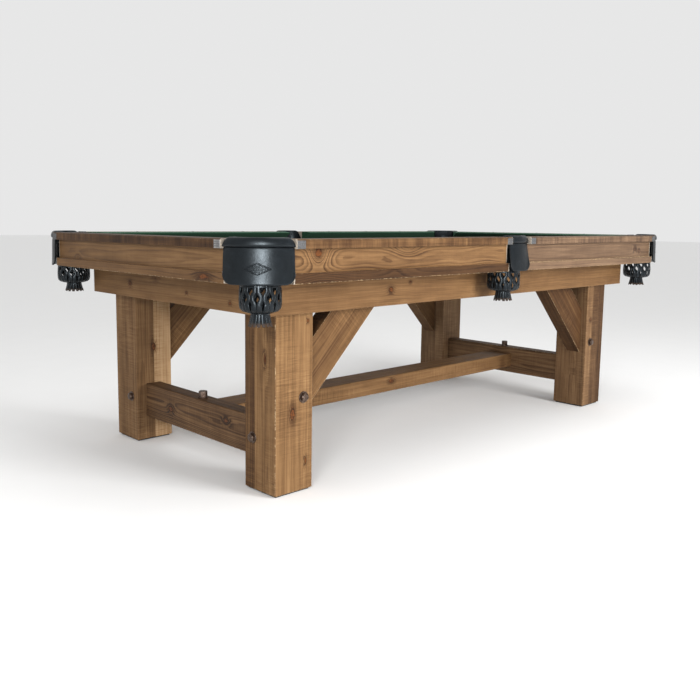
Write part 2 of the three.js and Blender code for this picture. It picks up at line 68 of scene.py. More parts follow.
# Where a cushion stops, at its nose and at its back: short of the corner, or from a side pocket's middle
CORNER_STOP = (86 * MM, 29 * MM)
SIDE_STOP = (65 * MM, 52.5 * MM)
SIGHT_LINE = 94 * MM  # from the nose to the middle of the sights
SIGHT_RADIUS = 6 * MM
PLATE_SIZE = (31 * MM, 24 * MM)  # rail end plate, along the rail and up
PLATE_INSET = 2 * MM
PLATE_THICKNESS = 1.2 * MM
PLATE_CUSHIONS = (5, 4)  # raised squares, along and up
PLATE_RELIEF = 0.55 * MM
PLATE_RIM = 0.09  # width of the plain rim, as a share of the half size
PLATE_DROP = 1.4 * MM  # how far below the middle of the cap it sits

# Bed cloth: the edge folded down over the slate and its liner
CLOTH_THICKNESS = 1 * MM
CLOTH_DROP = 42 * MM
CLOTH_EDGE_RADIUS = 2 * MM
CORNER_NOTCH = 72 * MM
SIDE_NOTCH = 62 * MM
NOTCH_STEPS = 32

# Pockets, in their own frame: centre of the hole at the origin, +Y outward
CORNER_INSET = 102.5 * MM  # from a hole's middle to the table's outer faces
SIDE_INSET = 75.5 * MM
SHIELD_RADIUS = 152 * MM
SHIELD_REACH = 75.5 * MM
SHIELD_BOTTOM = 692 * MM
SEAM_HEIGHT = 795 * MM
LIP_ROLL = 13 * MM  # how deep the rolled lip's round is, measured outward
LIP_SHOULDER = 0.68  # how far down to the seam the lip stands out furthest
LIP_BULGE = 0.8 * MM
LIP_CROWN = 1.5 * MM  # how far its top rises between its two rounds
LIP_TURN = radians(160)  # how far its round turns under
SKIRT_STEP = 1.4 * MM
SKIRT_THICKNESS = 4.5 * MM
SKIRT_HOLLOW = 2.2 * MM  # how far the skirt is drawn in under the seam
SKIRT_KICK = 2.2 * MM  # how far its hem stands out
TOP_ROUND = 16 * MM
BOTTOM_ROUND = 26 * MM
IRON_BOTTOM = 776.6 * MM
EAR_RADIUS = 65.8 * MM
EAR_TOP = 821 * MM
EAR_SWEEP = (92, 131)  # degrees round the hole
EAR_STEPS = 18
EAR_TIP = 3  # steps over which it narrows and drops
EAR_DROOP = 5 * MM
LIP_TOP = 824 * MM
CORNER_POCKET = {"hole": 57 * MM, "half_width": 102.4 * MM, "hole_sweep": 100.5, "flare": 0}
SIDE_POCKET = {"hole": 54 * MM, "half_width": 58.9 * MM, "hole_sweep": 96, "flare": 9 * MM}

# The tooled ornament on the corner shields
DIAMOND_HEIGHT = 737 * MM
DIAMOND_HALF = (40 * MM, 17 * MM)  # along the skirt and up
DIAMOND_CORDS = ((1.0, 1.7 * MM), (0.80, 1.1 * MM))  # (share of the full size, radius)
PIP_FIELD = 0.66  # share of the diamond that the pips fill
PIP_PITCH = (5.4 * MM, 3.9 * MM)
PIP_SECTION = ((-0.3, 2.1), (0.8, 1.8), (1.5, 0.8))  # (height, radius) in mm

# Net baskets, as (radius, height) in mm of the net's outer face
NET_PROFILE = [(58.0, 698), (59.5, 688), (60.8, 676), (61.5, 660), (61.8, 645), (61.3, 632), (59.0, 622.5),
               (53.0, 616.5), (41.0, 612.5), (28.5, 611)]
NET_MESHES = 10  # openings round the net in each row
NET_TURN = -14  # degrees, where the first opening stands
# Which neighbour a strap lies against, 1 or 0, as (height in mm, neighbour)
NET_LANES = [(700, 1), (674, 1), (660, 0), (650, 0), (637, 1), (600, 1)]
STRAP_WIDTHS = ((650 * MM, 12 * MM), (630 * MM, 17 * MM))  # (height, width)
STRAP_THICKNESS = 4.8 * MM
STRAP_SIDES = 10
COLLAR_RADII = (55.2 * MM, 58 * MM)  # inside and outside
COLLAR_TOP = 776 * MM
COLLAR_BOTTOM = 684 * MM
# The neck under the net, as (radius, height) in mm
NECK_PROFILE = [(0.5, 609.5), (28, 609.5), (28.6, 607), (27, 604), (0.5, 604)]
FRINGE_STRIPS = 14
FRINGE_TOP = 612 * MM
FRINGE_BOTTOM = 568.5 * MM
FRINGE_RADII = (25.5 * MM, 34.5 * MM)  # at its top and at its tips
FRINGE_WIDTHS = (11.6 * MM, 10.8 * MM)
FRINGE_THICKNESS = 3.6 * MM

# Leg bolts
BOLT_END_FACE = (391 * MM, 177 * MM)  # |y| and height on a leg's end face
BOLT_SIDE_FACE = (909 * MM, 312 * MM)  # |x| and height on a leg's side face
WASHER_RADIUS = 19 * MM
WASHER_HEIGHT = 2.5 * MM
HEAD_RADIUS = 14.5 * MM
HEAD_HEIGHT = 10 * MM

# Camera
CAMERA_PLACE = (-2.516, -2.3308, 0.8669)
CAMERA_TURN = (47.3, 7.33, 0.56)  # degrees left from +X, down, and rolled
SENSOR_WIDTH = 36  # mm
LENS = 39.94  # mm
LENS_SHIFT = (0.04, -0.04)
FLOOR_REACH = 40

# ---- derived places

half_table_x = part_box("rail_right_end")[1].x
half_table_y, rail_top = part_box("rail_back_left")[1].yz
half_play_x = half_table_x - RAIL_WIDTH
half_play_y = half_table_y - RAIL_WIDTH
corner_x, corner_y = half_table_x - CORNER_INSET, half_table_y - CORNER_INSET
side_y = half_table_y - SIDE_INSET
half_bed_x, half_bed_y, bed_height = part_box("bed_cloth")[1]


def middle(node):
    low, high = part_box(node)
    return (low + high) / 2


def half_size(node):
    low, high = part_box(node)
    return (high - low) / 2


def add_object(name, data):
    """A new object in the scene, at the origin."""
    made = bpy.data.objects.new(name, data)
    bpy.context.scene.collection.objects.link(made)
    return made


def blend(a, b, t):
    return a + (b - a) * t


def polar(radius, angle, height=0.0):
    """A point at an angle round the Z axis, measured from +Y."""
    return Vector((radius * sin(angle), radius * cos(angle), height))


# ---- shader graph helper

def arithmetic(operation):
    """A method of Graph for one kind of arithmetic."""
    def method(graph, *values, clamp=False):
        return graph.math(operation, *values, clamp=clamp)
    return method


class Graph:
    """Adds shader nodes to one tree. Each method returns an output socket."""

    plus, minus, times, over = map(arithmetic, ("ADD", "SUBTRACT", "MULTIPLY", "DIVIDE"))
    least, most = map(arithmetic, ("MINIMUM", "MAXIMUM"))
    scale_add = arithmetic("MULTIPLY_ADD")  # value, factor, what is added

    def __init__(self, tree):
        self.tree = tree

    def node(self, kind, **settings):
        made = self.tree.nodes.new("ShaderNode" + kind)
        for name, value in settings.items():
            setattr(made, name, value)
        return made

    def feed(self, socket, value):
        if isinstance(value, bpy.types.NodeSocket):
            self.tree.links.new(value, socket)
        else:
            socket.default_value = value

    def math(self, operation, *values, clamp=False):
        made = self.node("Math", operation=operation, use_clamp=clamp)
        for socket, value in zip(made.inputs, values):
            self.feed(socket, value)
        return made.outputs[0]

    def vector(self, operation, *values):
        made = self.node("VectorMath", operation=operation)
        for socket, value in zip(made.inputs[:3], values):
            self.feed(socket, value)
        return made.outputs["Value" if operation == "LENGTH" else "Vector"]

    def split(self, vector):
        made = self.node("SeparateXYZ")
        self.feed(made.inputs[0], vector)
        return made.outputs

    def join(self, x, y, z):
        made = self.node("CombineXYZ")
        for socket, value in zip(made.inputs, (x, y, z)):
            self.feed(socket, value)
        return made.outputs[0]

    def noise(self, vector, stretch, detail=2.0, roughness=0.5, output="Fac"):
        """Noise that is finer by stretch: one number, or one for each direction."""
        if not isinstance(stretch, tuple):
            stretch = (stretch, stretch, stretch)
        made = self.node("TexNoise")
        self.feed(made.inputs["Vector"], self.vector("MULTIPLY", vector, stretch))
        for name, value in {"Scale": 1.0, "Detail": detail, "Roughness": roughness}.items():
            self.feed(made.inputs[name], value)
        return made.outputs[output]

    def swing(self, vector, stretch, detail, roughness=0.5):
        """Noise that swings either side of zero."""
        return self.minus(self.noise(vector, stretch, detail, roughness), 0.5)

    def random(self, value):
        made = self.node("TexWhiteNoise", noise_dimensions="1D")
        self.feed(made.inputs["W"], value)
        return made.outputs["Value"]

    def cells(self, vector, scale=1.0, feature="F1"):
        made = self.node("TexVoronoi", feature=feature)
        self.feed(made.inputs["Vector"], vector)
        self.feed(made.inputs["Scale"], scale)
        return made.outputs["Distance"]

    def step(self, value, low, high, at_low=0.0, at_high=1.0):
        made = self.node("MapRange", interpolation_type="SMOOTHSTEP")
        for socket, number in zip(made.inputs, (value, low, high, at_low, at_high)):
            self.feed(socket, number)
        return made.outputs[0]

    def ramp(self, value, stops):
        made = self.node("ValToRGB")
        elements = made.color_ramp.elements
        while len(elements) < len(stops):
            elements.new(0.5)
        for element, (position, colour) in zip(elements, stops):
            element.position = position
            element.color = (*colour, 1)
        self.feed(made.inputs[0], value)
        return made.outputs[0]

    def mix(self, factor, first, second, blend="MIX"):
        made = self.node("Mix", data_type="RGBA", blend_type=blend)
        self.feed(made.inputs[0], factor)
        for socket, value in zip(made.inputs[6:8], (first, second)):
            self.feed(socket, value if isinstance(value, bpy.types.NodeSocket) else (*value, 1))
        return made.outputs[2]

    def place(self):
        """The point on the surface, in the table's own metres."""
        return self.node("TexCoord").outputs["Object"]


def finish_material(name, build, **shader):
    """A material whose colour, roughness and height in mm come from build(graph)."""
    material = bpy.data.materials.new(name)
    material.use_nodes = True
    tree = material.node_tree
    principled = tree.nodes["Principled BSDF"]
    graph = Graph(tree)
    colour, roughness, height = build(graph)
    graph.feed(principled.inputs["Base Color"], colour)
    graph.feed(principled.inputs["Roughness"], roughness)
    for socket, value in shader.items():
        principled.inputs[socket.replace("_", " ")].default_value = value
    bump = graph.node("Bump")
    bump.inputs["Distance"].default_value = MM
    graph.feed(bump.inputs["Height"], height)
    tree.links.new(bump.outputs[0], principled.inputs["Normal"])
    return material


# ---- pine

RING_SPACING = 4.6 * MM
PINE_RAMP = [(0.0, (0.018, 0.0075, 0.003)), (0.3, (0.066, 0.032, 0.0135)), (0.5, (0.128, 0.067, 0.028)),
             (0.7, (0.210, 0.117, 0.051)), (0.85, (0.300, 0.177, 0.083)), (1.0, (0.420, 0.268, 0.140))]
WORN_PINE = (0.37, 0.262, 0.148)
# Colour of the boards' ends: the paler raw end grain, and painted light standing in for lit end faces
END_GRAIN_AND_LIGHT = (0.37, 0.325, 0.27)
KNOT_RED = (0.140, 0.046, 0.012)
KNOT_BROWN = (0.050, 0.020, 0.008)
BARK_LINE = (0.014, 0.007, 0.004)
# A board's look where its own call says nothing else. Swirl is how far the rings bend round a knot and
# Spread how widely, Knot the way to the nearest marked knot in its own radii, Seam that to a strip's edge.
# Ends is how much the ends are paled, partly end grain and partly painted light
PINE_LOOK = {"Grey": 0.0, "Rings": 0.6, "Streaks": 0.7, "Knots": 1.0, "Saw": 0.4, "Bands": 0.2, "Matt": 0.62,
             "Wear": 0.5, "Ends": 0.0, "Swirl": 20 * MM, "Spread": 1.0, "Knot": 99.0, "Seam": 1.0}
NEXT_PLY = Vector((3.1, 1.7, 2.3))  # from one glued ply's wood to the next


def pine_group():
    """Stained pine. Place has X along the grain, and Half is the board's half size in the same frame."""
    tree = bpy.data.node_groups.new("stained_pine", "ShaderNodeTree")
    interface = tree.interface
    for kind, names in {"Vector": ("Place", "Half", "Pith", "Shift"), "Float": ("Tone", *PINE_LOOK)}.items():
        for name in names:
            interface.new_socket(name, in_out="INPUT", socket_type="NodeSocket" + kind)
    for name, kind in {"Color": "Color", "Roughness": "Float", "Height": "Float"}.items():
        interface.new_socket(name, in_out="OUTPUT", socket_type="NodeSocket" + kind)
    given = tree.nodes.new("NodeGroupInput").outputs
    result = tree.nodes.new("NodeGroupOutput").inputs
    g = Graph(tree)
    place = given["Place"]
    wood = g.vector("ADD", place, given["Shift"])
    room = g.vector("SUBTRACT", given["Half"], g.vector("ABSOLUTE", place))

    # Distance from the tree's heart, wandering along the grain
    drift = g.vector("SUBTRACT", g.noise(wood, (1.3, 7, 7), 1.5, output="Color"), (0.5, 0.5, 0.5))
    drift = g.vector("MULTIPLY", drift, (0, 0.030, 0.030))
    heart = g.vector("ADD", g.vector("SUBTRACT", place, given["Pith"]), drift)
    side, out = g.split(heart)[1:3]
    radius = g.math("SQRT", g.plus(g.times(side, side), g.times(out, out)))

    # Branches leave the heart at random places; their sections are knots
    turn = g.join(g.split(g.vector("MULTIPLY", wood, (4.2, 0, 0)))[0],
                  g.times(g.over(side, radius), 0.55),
                  g.times(g.over(out, radius), 0.55))
    wild = g.plus(g.over(g.cells(turn), 0.075), g.step(given["Knots"], 0, 1, 9, 0))
    knot = g.least(wild, given["Knot"])
    frayed = g.swing(wood, (70, 190, 190), 4, 0.65)
    ragged = g.scale_add(frayed, 1.1, knot)

    # Yearly rings, bent round the knots
    from_knot = g.over(knot, given["Spread"])
    bend = g.over(given["Swirl"], g.scale_add(from_knot, from_knot, 1.0))
    rings = g.over(g.plus(radius, bend), RING_SPACING)
    rings = g.plus(rings, g.times(g.noise(wood, (2.5, 60, 60), 2), 1.1))
    part = g.math("FRACT", rings)
    late = g.times(g.step(part, 0.25, 0.9), g.step(part, 0.93, 1.0, 1, 0))
    strength = g.scale_add(g.random(g.math("FLOOR", rings)), 0.9, 0.25)
    near_knot = g.step(from_knot, 1.0, 4.0, 3.0, 1.0)
    late = g.times(late, g.times(g.times(strength, near_knot), given["Rings"]))

    # Fibres, the saw's marks across the grain, and uneven stain
    fibre = g.swing(wood, (7, 420, 420), 3, 0.6)
    streak = g.swing(wood, (1.8, 95, 95), 4, 0.62)
    stain = g.swing(wood, (5, 14, 14), 3, 0.6)
    patch = g.step(g.noise(wood, (4, 9, 9), 2), 0.36, 0.62)
    kerf = g.swing(wood, (310, 14, 14), 2)
    kerf = g.times(g.times(kerf, patch), given["Saw"])
    band = g.swing(wood, (42, 3, 3), 4, 0.78)
    planed = g.step(g.split(room)[1], 0.0, 0.002, 0.35, 1.0)
    band = g.times(g.times(band, planed), given["Bands"])

    tone = g.scale_add(fibre, 0.30, given["Tone"])
    tone = g.scale_add(g.times(streak, given["Streaks"]), 0.55, tone)
    tone = g.scale_add(stain, 0.34, tone)
    tone = g.scale_add(kerf, 0.42, tone)
    tone = g.scale_add(band, 0.60, tone)
    tone = g.scale_add(late, -0.22, tone)
    tone = g.minus(tone, g.step(ragged, 0.9, 2.8, 0.15, 0.0))
    wood_colour = g.ramp(tone, PINE_RAMP)

    # A knot's red heart, its own rings, and the broken dark bark line round it
    core = g.step(g.noise(wood, 110, 3), 0.38, 0.66)
    knot_rings = g.scale_add(g.math("SINE", g.times(ragged, 17)), 0.22, 0.22)
    knot_colour = g.mix(g.most(core, knot_rings), KNOT_RED, KNOT_BROWN)
    rim = g.times(g.step(ragged, 0.55, 0.95), g.step(g.noise(wood, 45, 2), 0.36, 0.6, 0.25, 1))
    knot_colour = g.mix(rim, knot_colour, BARK_LINE)
    colour = g.mix(g.step(ragged, 0.86, 1.22), knot_colour, wood_colour)

    # Weathered boards lose their warmth
    bare = g.node("HueSaturation")
    bare.inputs["Saturation"].default_value = 0.45
    g.feed(bare.inputs["Color"], colour)
    colour = g.mix(given["Grey"], colour, bare.outputs[0])

    # Edges rubbed pale: the middle one of the three distances to the board's faces
    room = g.split(room)
    near, far = g.least(room[0], room[1]), g.most(room[0], room[1])
    edge = g.most(near, g.least(far, room[2]))
    edge = g.least(edge, given["Seam"])
    chips = g.noise(wood, (90, 160, 160), 3, 0.7)
    reach = g.times(g.step(chips, 0.40, 0.75, 0.0006, 0.0052), given["Wear"])
    reach = g.most(reach, 0.00001)
    worn = g.times(g.step(g.over(edge, reach), 0.45, 1.0, 1, 0), 0.8)
    # Paler board ends, in a band a few mm wide: partly the raw end grain's own colour, partly painted light
    # on the ends
    from_end = g.over(room[0], g.step(chips, 0.3, 0.7, 0.0035, 0.0060))
    cut_end_and_light = g.times(g.step(from_end, 0.7, 1.0, 0.8, 0), given["Ends"])
    colour = g.mix(cut_end_and_light, g.mix(worn, colour, WORN_PINE), END_GRAIN_AND_LIGHT)
    g.feed(result["Color"], colour)

    matt = g.scale_add(fibre, 0.35, given["Matt"])
    matt = g.scale_add(late, -0.12, matt)
    g.feed(result["Roughness"], g.scale_add(worn, 0.15, matt, clamp=True))
    height = g.scale_add(fibre, 0.30, g.times(late, 0.09))
    height = g.scale_add(kerf, 1.3, height)
    height = g.scale_add(band, 0.35, height)
    height = g.scale_add(worn, -0.5, height)
    g.feed(result["Height"], g.plus(height, g.step(ragged, 0.7, 1.2, 0.12, 0)))
    return tree


PINE = pine_group()
draw = random.Random(8)


def pine(name, centre, half, along, across, heart, tone, marks=(), plies=None, trim=None, **look):
    """One board's own pine. half is (along, across, through) and heart the pith's (across, through).

    marks are the board's plain knots, as (place, radius along, radius across). plies is the
    thickness and the tones of the boards glued up across the grain, and trim the height of the
    top of a strip along the bottom, how far its worn ridge is held back and its change of tone.
    look changes entries of PINE_LOOK.
    """
    through = along.cross(across)
    turn = Matrix((along, across, through)).transposed().to_euler()
    offset = Vector((draw.uniform(0, 90), draw.uniform(0, 90), draw.uniform(0, 90)))

    def build(g):
        local = g.node("Mapping", vector_type="TEXTURE")
        g.feed(local.inputs["Vector"], g.place())
        local.inputs["Location"].default_value = centre
        local.inputs["Rotation"].default_value = turn
        place = local.outputs[0]
        values = {**PINE_LOOK, **{word.capitalize(): value for word, value in look.items()},
                  "Place": place, "Half": half, "Pith": (0, *heart), "Shift": offset, "Tone": tone}
        step = None
        if plies:
            thickness, tones = plies
            step = g.math("FLOOR", g.over(g.plus(g.split(place)[1], half[1]), thickness))
            board_tone = tone + tones[0]
            for layer in range(1, len(tones)):
                change = tones[layer] - tones[layer - 1]
                board_tone = g.scale_add(g.math("GREATER_THAN", step, layer - 0.5), change, board_tone)
            values["Tone"] = board_tone
        if trim:
            height = g.split(g.place())[2]
            step = g.math("LESS_THAN", height, trim[0])
            values["Tone"] = g.scale_add(step, trim[2], tone)
            ridge = g.math("ABSOLUTE", g.minus(height, trim[0]))
            values["Seam"] = g.plus(ridge, trim[1])
        if step:
            moved = g.vector("MULTIPLY", g.join(step, step, step), NEXT_PLY)
            values["Shift"] = g.vector("ADD", moved, offset)
        for spot, length, width in marks:
            away = g.vector("SUBTRACT", g.place(), spot)
            sizes = [blend(1 / width, 1 / length, abs(axis.dot(along))) for axis in (X, Y, Z)]
            reach = g.vector("LENGTH", g.vector("MULTIPLY", away, sizes))
            values["Knot"] = g.least(values["Knot"], reach)
        group = g.node("Group", node_tree=PINE)
        for socket, value in values.items():
            g.feed(group.inputs[socket], value)
        return group.outputs["Color"], group.outputs["Roughness"], group.outputs["Height"]

    return finish_material(f"pine_{name}", build, Specular_IOR_Level=0.14)


# ---- other finishes

def cloth_build(g):
    """Napped wool: a fine twill under short fibres, a little uneven."""
    place = g.place()
    x, y, z = g.split(place)
    twill = g.math("SINE", g.times(g.plus(g.plus(x, y), z), 5200))
    nap = g.noise(place, 1500, 2)
    patch = g.noise(place, 5, 3)
    tone = g.scale_add(nap, 0.5, g.times(patch, 0.35))
    colour = g.ramp(tone, [(0.15, (0.005, 0.019, 0.009)), (0.45, (0.009, 0.034, 0.017)),
                           (0.85, (0.017, 0.056, 0.029))])
    height = g.scale_add(nap, 0.10, g.times(twill, 0.03))
    return colour, g.scale_add(nap, 0.1, 0.86), height


def leather_build(g):
    """Black oiled leather: pebbled grain, pores and rubbed high spots."""
    place = g.place()
    pebble = g.cells(place, 620, "SMOOTH_F1")
    fine = g.noise(place, 1400, 3)
    crease = g.noise(place, 60, 4, 0.65)
    rubbed = g.noise(place, 14, 3)
    tone = g.scale_add(crease, 0.5, g.times(rubbed, 0.5))
    colour = g.ramp(tone, [(0.3, (0.0025, 0.003, 0.0035)), (0.55, (0.005, 0.0062, 0.0075)),
                           (0.8, (0.012, 0.0145, 0.018))])
    rough = g.scale_add(g.minus(rubbed, 0.5), -0.30, 0.34)
    rough = g.scale_add(g.minus(fine, 0.5), 0.18, rough)
    height = g.scale_add(pebble, -0.16, g.times(fine, 0.07))
    height = g.scale_add(crease, 0.35, height)
    return colour, rough, height


def slate_build(g):
    """Honed slate with fine pale layers and a gritty surface."""
    place = g.place()
    layers = g.noise(place, (3, 9, 160), 4, 0.6)
    grit = g.noise(place, 900, 2)
    tone = g.scale_add(grit, 0.3, g.times(layers, 0.7))
    colour = g.ramp(tone, [(0.2, (0.045, 0.050, 0.055)), (0.5, (0.085, 0.093, 0.100)),
                           (0.85, (0.150, 0.158, 0.165))])
    return colour, g.scale_add(grit, 0.25, 0.45), g.scale_add(layers, 0.3, grit)


def iron_build(g):
    """Forged iron gone brown: dark scale, rust in the hollows, bright rubbed spots."""
    place = g.place()
    scale = g.noise(place, 260, 4, 0.6)
    rust = g.noise(place, 90, 3)
    colour = g.ramp(g.scale_add(scale, 0.6, g.times(rust, 0.4)),
                    [(0.25, (0.030, 0.018, 0.012)), (0.5, (0.095, 0.062, 0.046)),
                     (0.8, (0.300, 0.250, 0.215))])
    return colour, g.scale_add(scale, -0.35, 0.62), g.times(scale, 0.5)


def plate_build(shade):
    """Dull silver plate, lightly hammered. shade is how bright its metal is; below 1 it is painted shade."""
    def build(g):
        place = g.place()
        dents = g.cells(place, 260, "SMOOTH_F1")
        tarnish = g.noise(place, 60, 3)
        dark, bright = [tuple(shade * level for level in colour)
                        for colour in ((0.150, 0.144, 0.138), (0.390, 0.380, 0.365))]
        colour = g.ramp(tarnish, [(0.25, dark), (0.7, bright)])
        return colour, g.scale_add(tarnish, -0.2, 0.66), g.times(dents, 0.25)
    return build


def speckled(name, scale, detail, dark, light, rough, relief, **shader):
    """A plain finish that wanders between two (position, colour) stops. rough is how much the
    roughness follows the specks, and its least value; relief is their height in mm."""
    def build(g):
        specks = g.noise(g.place(), scale, detail)
        colour = g.ramp(specks, [dark, light])
        return colour, g.scale_add(specks, *rough), g.times(specks, relief)
    return finish_material(name, build, **shader)


CLOTH = finish_material("green_wool_cloth", cloth_build, Sheen_Weight=0.15, Sheen_Roughness=0.4,
                        Sheen_Tint=(0.30, 0.55, 0.40, 1), Specular_IOR_Level=0.15)
LEATHER = finish_material("black_leather", leather_build, Specular_IOR_Level=0.24,
                          Specular_Tint=(0.80, 0.92, 1, 1))
CUT_LEATHER = speckled("cut_leather_edge", 900, 3, (0.25, (0.010, 0.006, 0.004)),
                       (0.75, (0.040, 0.022, 0.012)), (0.2, 0.7), 0.2)
SLATE = finish_material("honed_slate", slate_build)
IRON = finish_material("forged_iron", iron_build, Metallic=0.8)
PEWTER = finish_material("hammered_pewter", plate_build(1.0), Metallic=0.5)
# The same pewter darkened: painted shade for the plates that catch less light
PEWTER_PAINTED_SHADE = finish_material("pewter_painted_shade", plate_build(0.35), Metallic=0.5)
GROOVE = speckled("tarnished_groove", 300, 3, (0.3, (0.060, 0.062, 0.068)),
                  (0.7, (0.140, 0.142, 0.150)), (-0.2, 0.65), 0.1, Metallic=0.4)
RUBBER = speckled("black_rubber", 700, 2, (0.2, (0.010, 0.010, 0.010)),
                  (0.8, (0.028, 0.027, 0.026)), (0.15, 0.75), 0.15, Specular_IOR_Level=0.3)
SIGHT = speckled("dark_inlay", 200, 3, (0.3, (0.012, 0.011, 0.010)),
                 (0.7, (0.050, 0.045, 0.040)), (0.1, 0.25), 0.02)

# ---- the timber's own boards


TIMBER_EDGE_ANGLE = 28  # degrees, from which an edge counts as sharp


def round_edges(piece, name, width, segments, angle):
    bevel = piece.modifiers.new(name, "BEVEL")
    bevel.width = width
    bevel.segments = segments
    bevel.limit_method = "ANGLE"
    bevel.angle_limit = radians(angle)
    return bevel


def ease_edges(node, width, material):
    """Rounds a CAD part's sharp edges and gives it its finish."""
    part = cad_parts[node]
    weld = part.modifiers.new("weld", "WELD")
    weld.merge_threshold = 0.01 * MM
    round_edges(part, "eased_edges", width, 2, TIMBER_EDGE_ANGLE)
    part.material_slots[0].material = material


def local_half(node, along, across):
    size = half_size(node)
    through = along.cross(across)
    return tuple(sum(abs(axis[i]) * size[i] for i in range(3)) for axis in (along, across, through))


def timber(node, along, across, heart, tone, width=1.0 * MM, **look):
    half = local_half(node, along, across)
    ease_edges(node, width, pine(node, middle(node), half, along, across, heart, tone, **look))


# Knots that stand out, as (place, radius along the grain, radius across it)
LEG_MARKS = {
    "front_left": [((-0.954, -0.505, 0.263), 20 * MM, 9 * MM),
                   ((-0.892, -0.505, 0.556), 6 * MM, 4 * MM),
                   ((-0.899, -0.505, 0.100), 12 * MM, 4 * MM),
                   ((-1.025, -0.454, 0.440), 16 * MM, 5 * MM)],
    "front_right": [((0.905, -0.505, 0.420), 8 * MM, 6 * MM)],
    "back_left": [((-0.947, 0.349, 0.372), 14 * MM, 8 * MM)],
    "back_right": [((1.025, 0.430, 0.350), 12 * MM, 9 * MM)],
}
# How each leg is glued up, its tone, how grey and how worn it is, and its plies' thickness and tones
LEGS = {
    "front_left": (Y, 0.62, 0.0, 1.0, (52 * MM, (0.0, 0.02, -0.20))),
    "front_right": (X, 0.55, 0.1, 0.6, (52 * MM, (0.0, -0.17, -0.22))),
    "back_left": (X, 0.60, 0.05, 0.25, (78 * MM, (0.0, 0.32))),
    "back_right": (Y, 0.62, 0.15, 0.35, (52 * MM, (0.06, -0.04, 0.0))),
}
BRACE_WIDTH = 146 * MM
BRACE_TONES = {"front_left": 0.47, "front_right": 0.30, "back_left": 0.52, "back_right": 0.48}

for corner, (sx, sy) in CORNERS.items():
    stacked, tone, grey, wear, plies = LEGS[corner]
    timber(f"leg_{corner}", Z, stacked, (0.05 * sx, -0.115), tone, width=1.2 * MM, rings=0.5,
           streaks=1.1, knots=0.6, saw=1.0, bands=0.3, matt=0.72, grey=grey, wear=wear,
           marks=LEG_MARKS[corner], plies=plies)
    brace = f"knee_brace_{corner}"
    low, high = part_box(brace)
    rise = high.z - low.z
    leg_face = sx * min(abs(side.x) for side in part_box(f"leg_{corner}"))
    rising = Vector((-sx, 0, 1)).normalized()
    upward = Vector((sx, 0, 1)).normalized()
    under_edge = Vector((leg_face - sx * rise / 2, middle(brace).y, middle(brace).z))
    brace_half = (rise / sqrt(2), BRACE_WIDTH / 2, (high.y - low.y) / 2)
    ease_edges(brace, 1.0 * MM,
               pine(brace, under_edge + upward * BRACE_WIDTH / 2, brace_half, rising, upward,
                    (0.02, 0.09), BRACE_TONES[corner], rings=0.5, streaks=1.0, saw=0.9, matt=0.7, knots=0.8))
    ease_edges(f"foot_pad_{corner}", 0.8 * MM, RUBBER)

STRETCHER_MARKS = [((-0.984, 0.169, 0.159), 14 * MM, 11 * MM),
                   ((-0.984, -0.187, 0.184), 12 * MM, 8 * MM)]
END_BEAM_MARKS = [((-1.096, 0.256, 0.637), 9 * MM, 8 * MM),
                  ((-1.096, -0.122, 0.628), 5 * MM, 4 * MM),
                  ((-1.096, -0.368, 0.613), 6 * MM, 5 * MM)]
SIDE_BEAM_MARKS = [((-0.548, -0.545, 0.640), 11 * MM, 9 * MM),
                   ((-0.448, -0.545, 0.662), 6 * MM, 4 * MM)]
BEAM_LOOK = {"rings": 0.35, "saw": 0.15, "bands": 0.12, "wear": 0.2}
for end, sx in ENDS.items():
    near = sx < 0
    timber(f"end_stretcher_{end}", Y, Z, (0.01, 0.075 * sx), 0.46 if near else 0.57, rings=1.1,
           streaks=1.0, saw=0.5, grey=0.1, wear=0.3 if near else 0.9, marks=STRETCHER_MARKS if near else ())
    timber(f"cross_beam_{end}", Y, Z, (0.02, 0.12), 0.50, saw=0.6)
    timber(f"end_beam_{end}", Y, Z, (0.03, 0.13 * sx), 0.60, marks=END_BEAM_MARKS if near else (),
           **BEAM_LOOK)
    ease_edges(f"stretcher_bolt_{end}", 1.2 * MM, IRON)

timber("centre_stretcher", X, Y, (0.015, -0.10), 0.56, streaks=1.0, saw=0.9, bands=0.3, wear=0.3,
       marks=[((-0.006, -0.066, 0.174), 15 * MM, 9 * MM)])
for side, sy in {"front": -1, "back": 1}.items():
    timber(f"side_beam_{side}", X, Z, (0.03, -0.13 * sy), 0.53, marks=SIDE_BEAM_MARKS if sy < 0 else (),
           **BEAM_LOOK)

for position in ("left", "middle", "right"):
    timber(f"slate_liner_{position}", X, Y, (0.05, -0.12), 0.70, width=0.5 * MM, saw=0.5)
    ease_edges(f"slate_{position}", 1.0 * MM, SLATE)

# Rails and aprons: along, out from the table, tones of the cap and the apron, how grey, the trim's
# held-back ridge and change of tone, and marked knots
BORDERS = {
    "front_left": (X, -Y, 0.40, 0.56, 0.0, (1.4 * MM, -0.35),
                   [((-1.003, -0.675, 0.780), 12 * MM, 13 * MM)]),
    "front_right": (X, -Y, 0.43, 0.49, 0.35, (0, 0.0),
                    [((0.960, -0.675, 0.758), 9 * MM, 6 * MM),
                     ((1.000, -0.675, 0.750), 6 * MM, 6 * MM)]),
    "back_left": (X, Y, 0.48, 0.60, 0.1, (1 * MM, -0.08), []),
    "back_right": (X, Y, 0.52, 0.63, 0.2, (1 * MM, -0.08), []),
    "left_end": (Y, -X, 0.24, 0.60, 0.0, (2 * MM, -0.10),
                 [((-1.245, -0.444, 0.707), 26 * MM, 8 * MM)]),
    "right_end": (Y, X, 0.42, 0.58, 0.1, (1 * MM, -0.08), []),
}
FIGURED_APRON = {"front_left": {"swirl": 52 * MM, "spread": 2.4}}  # wide figure round its knot
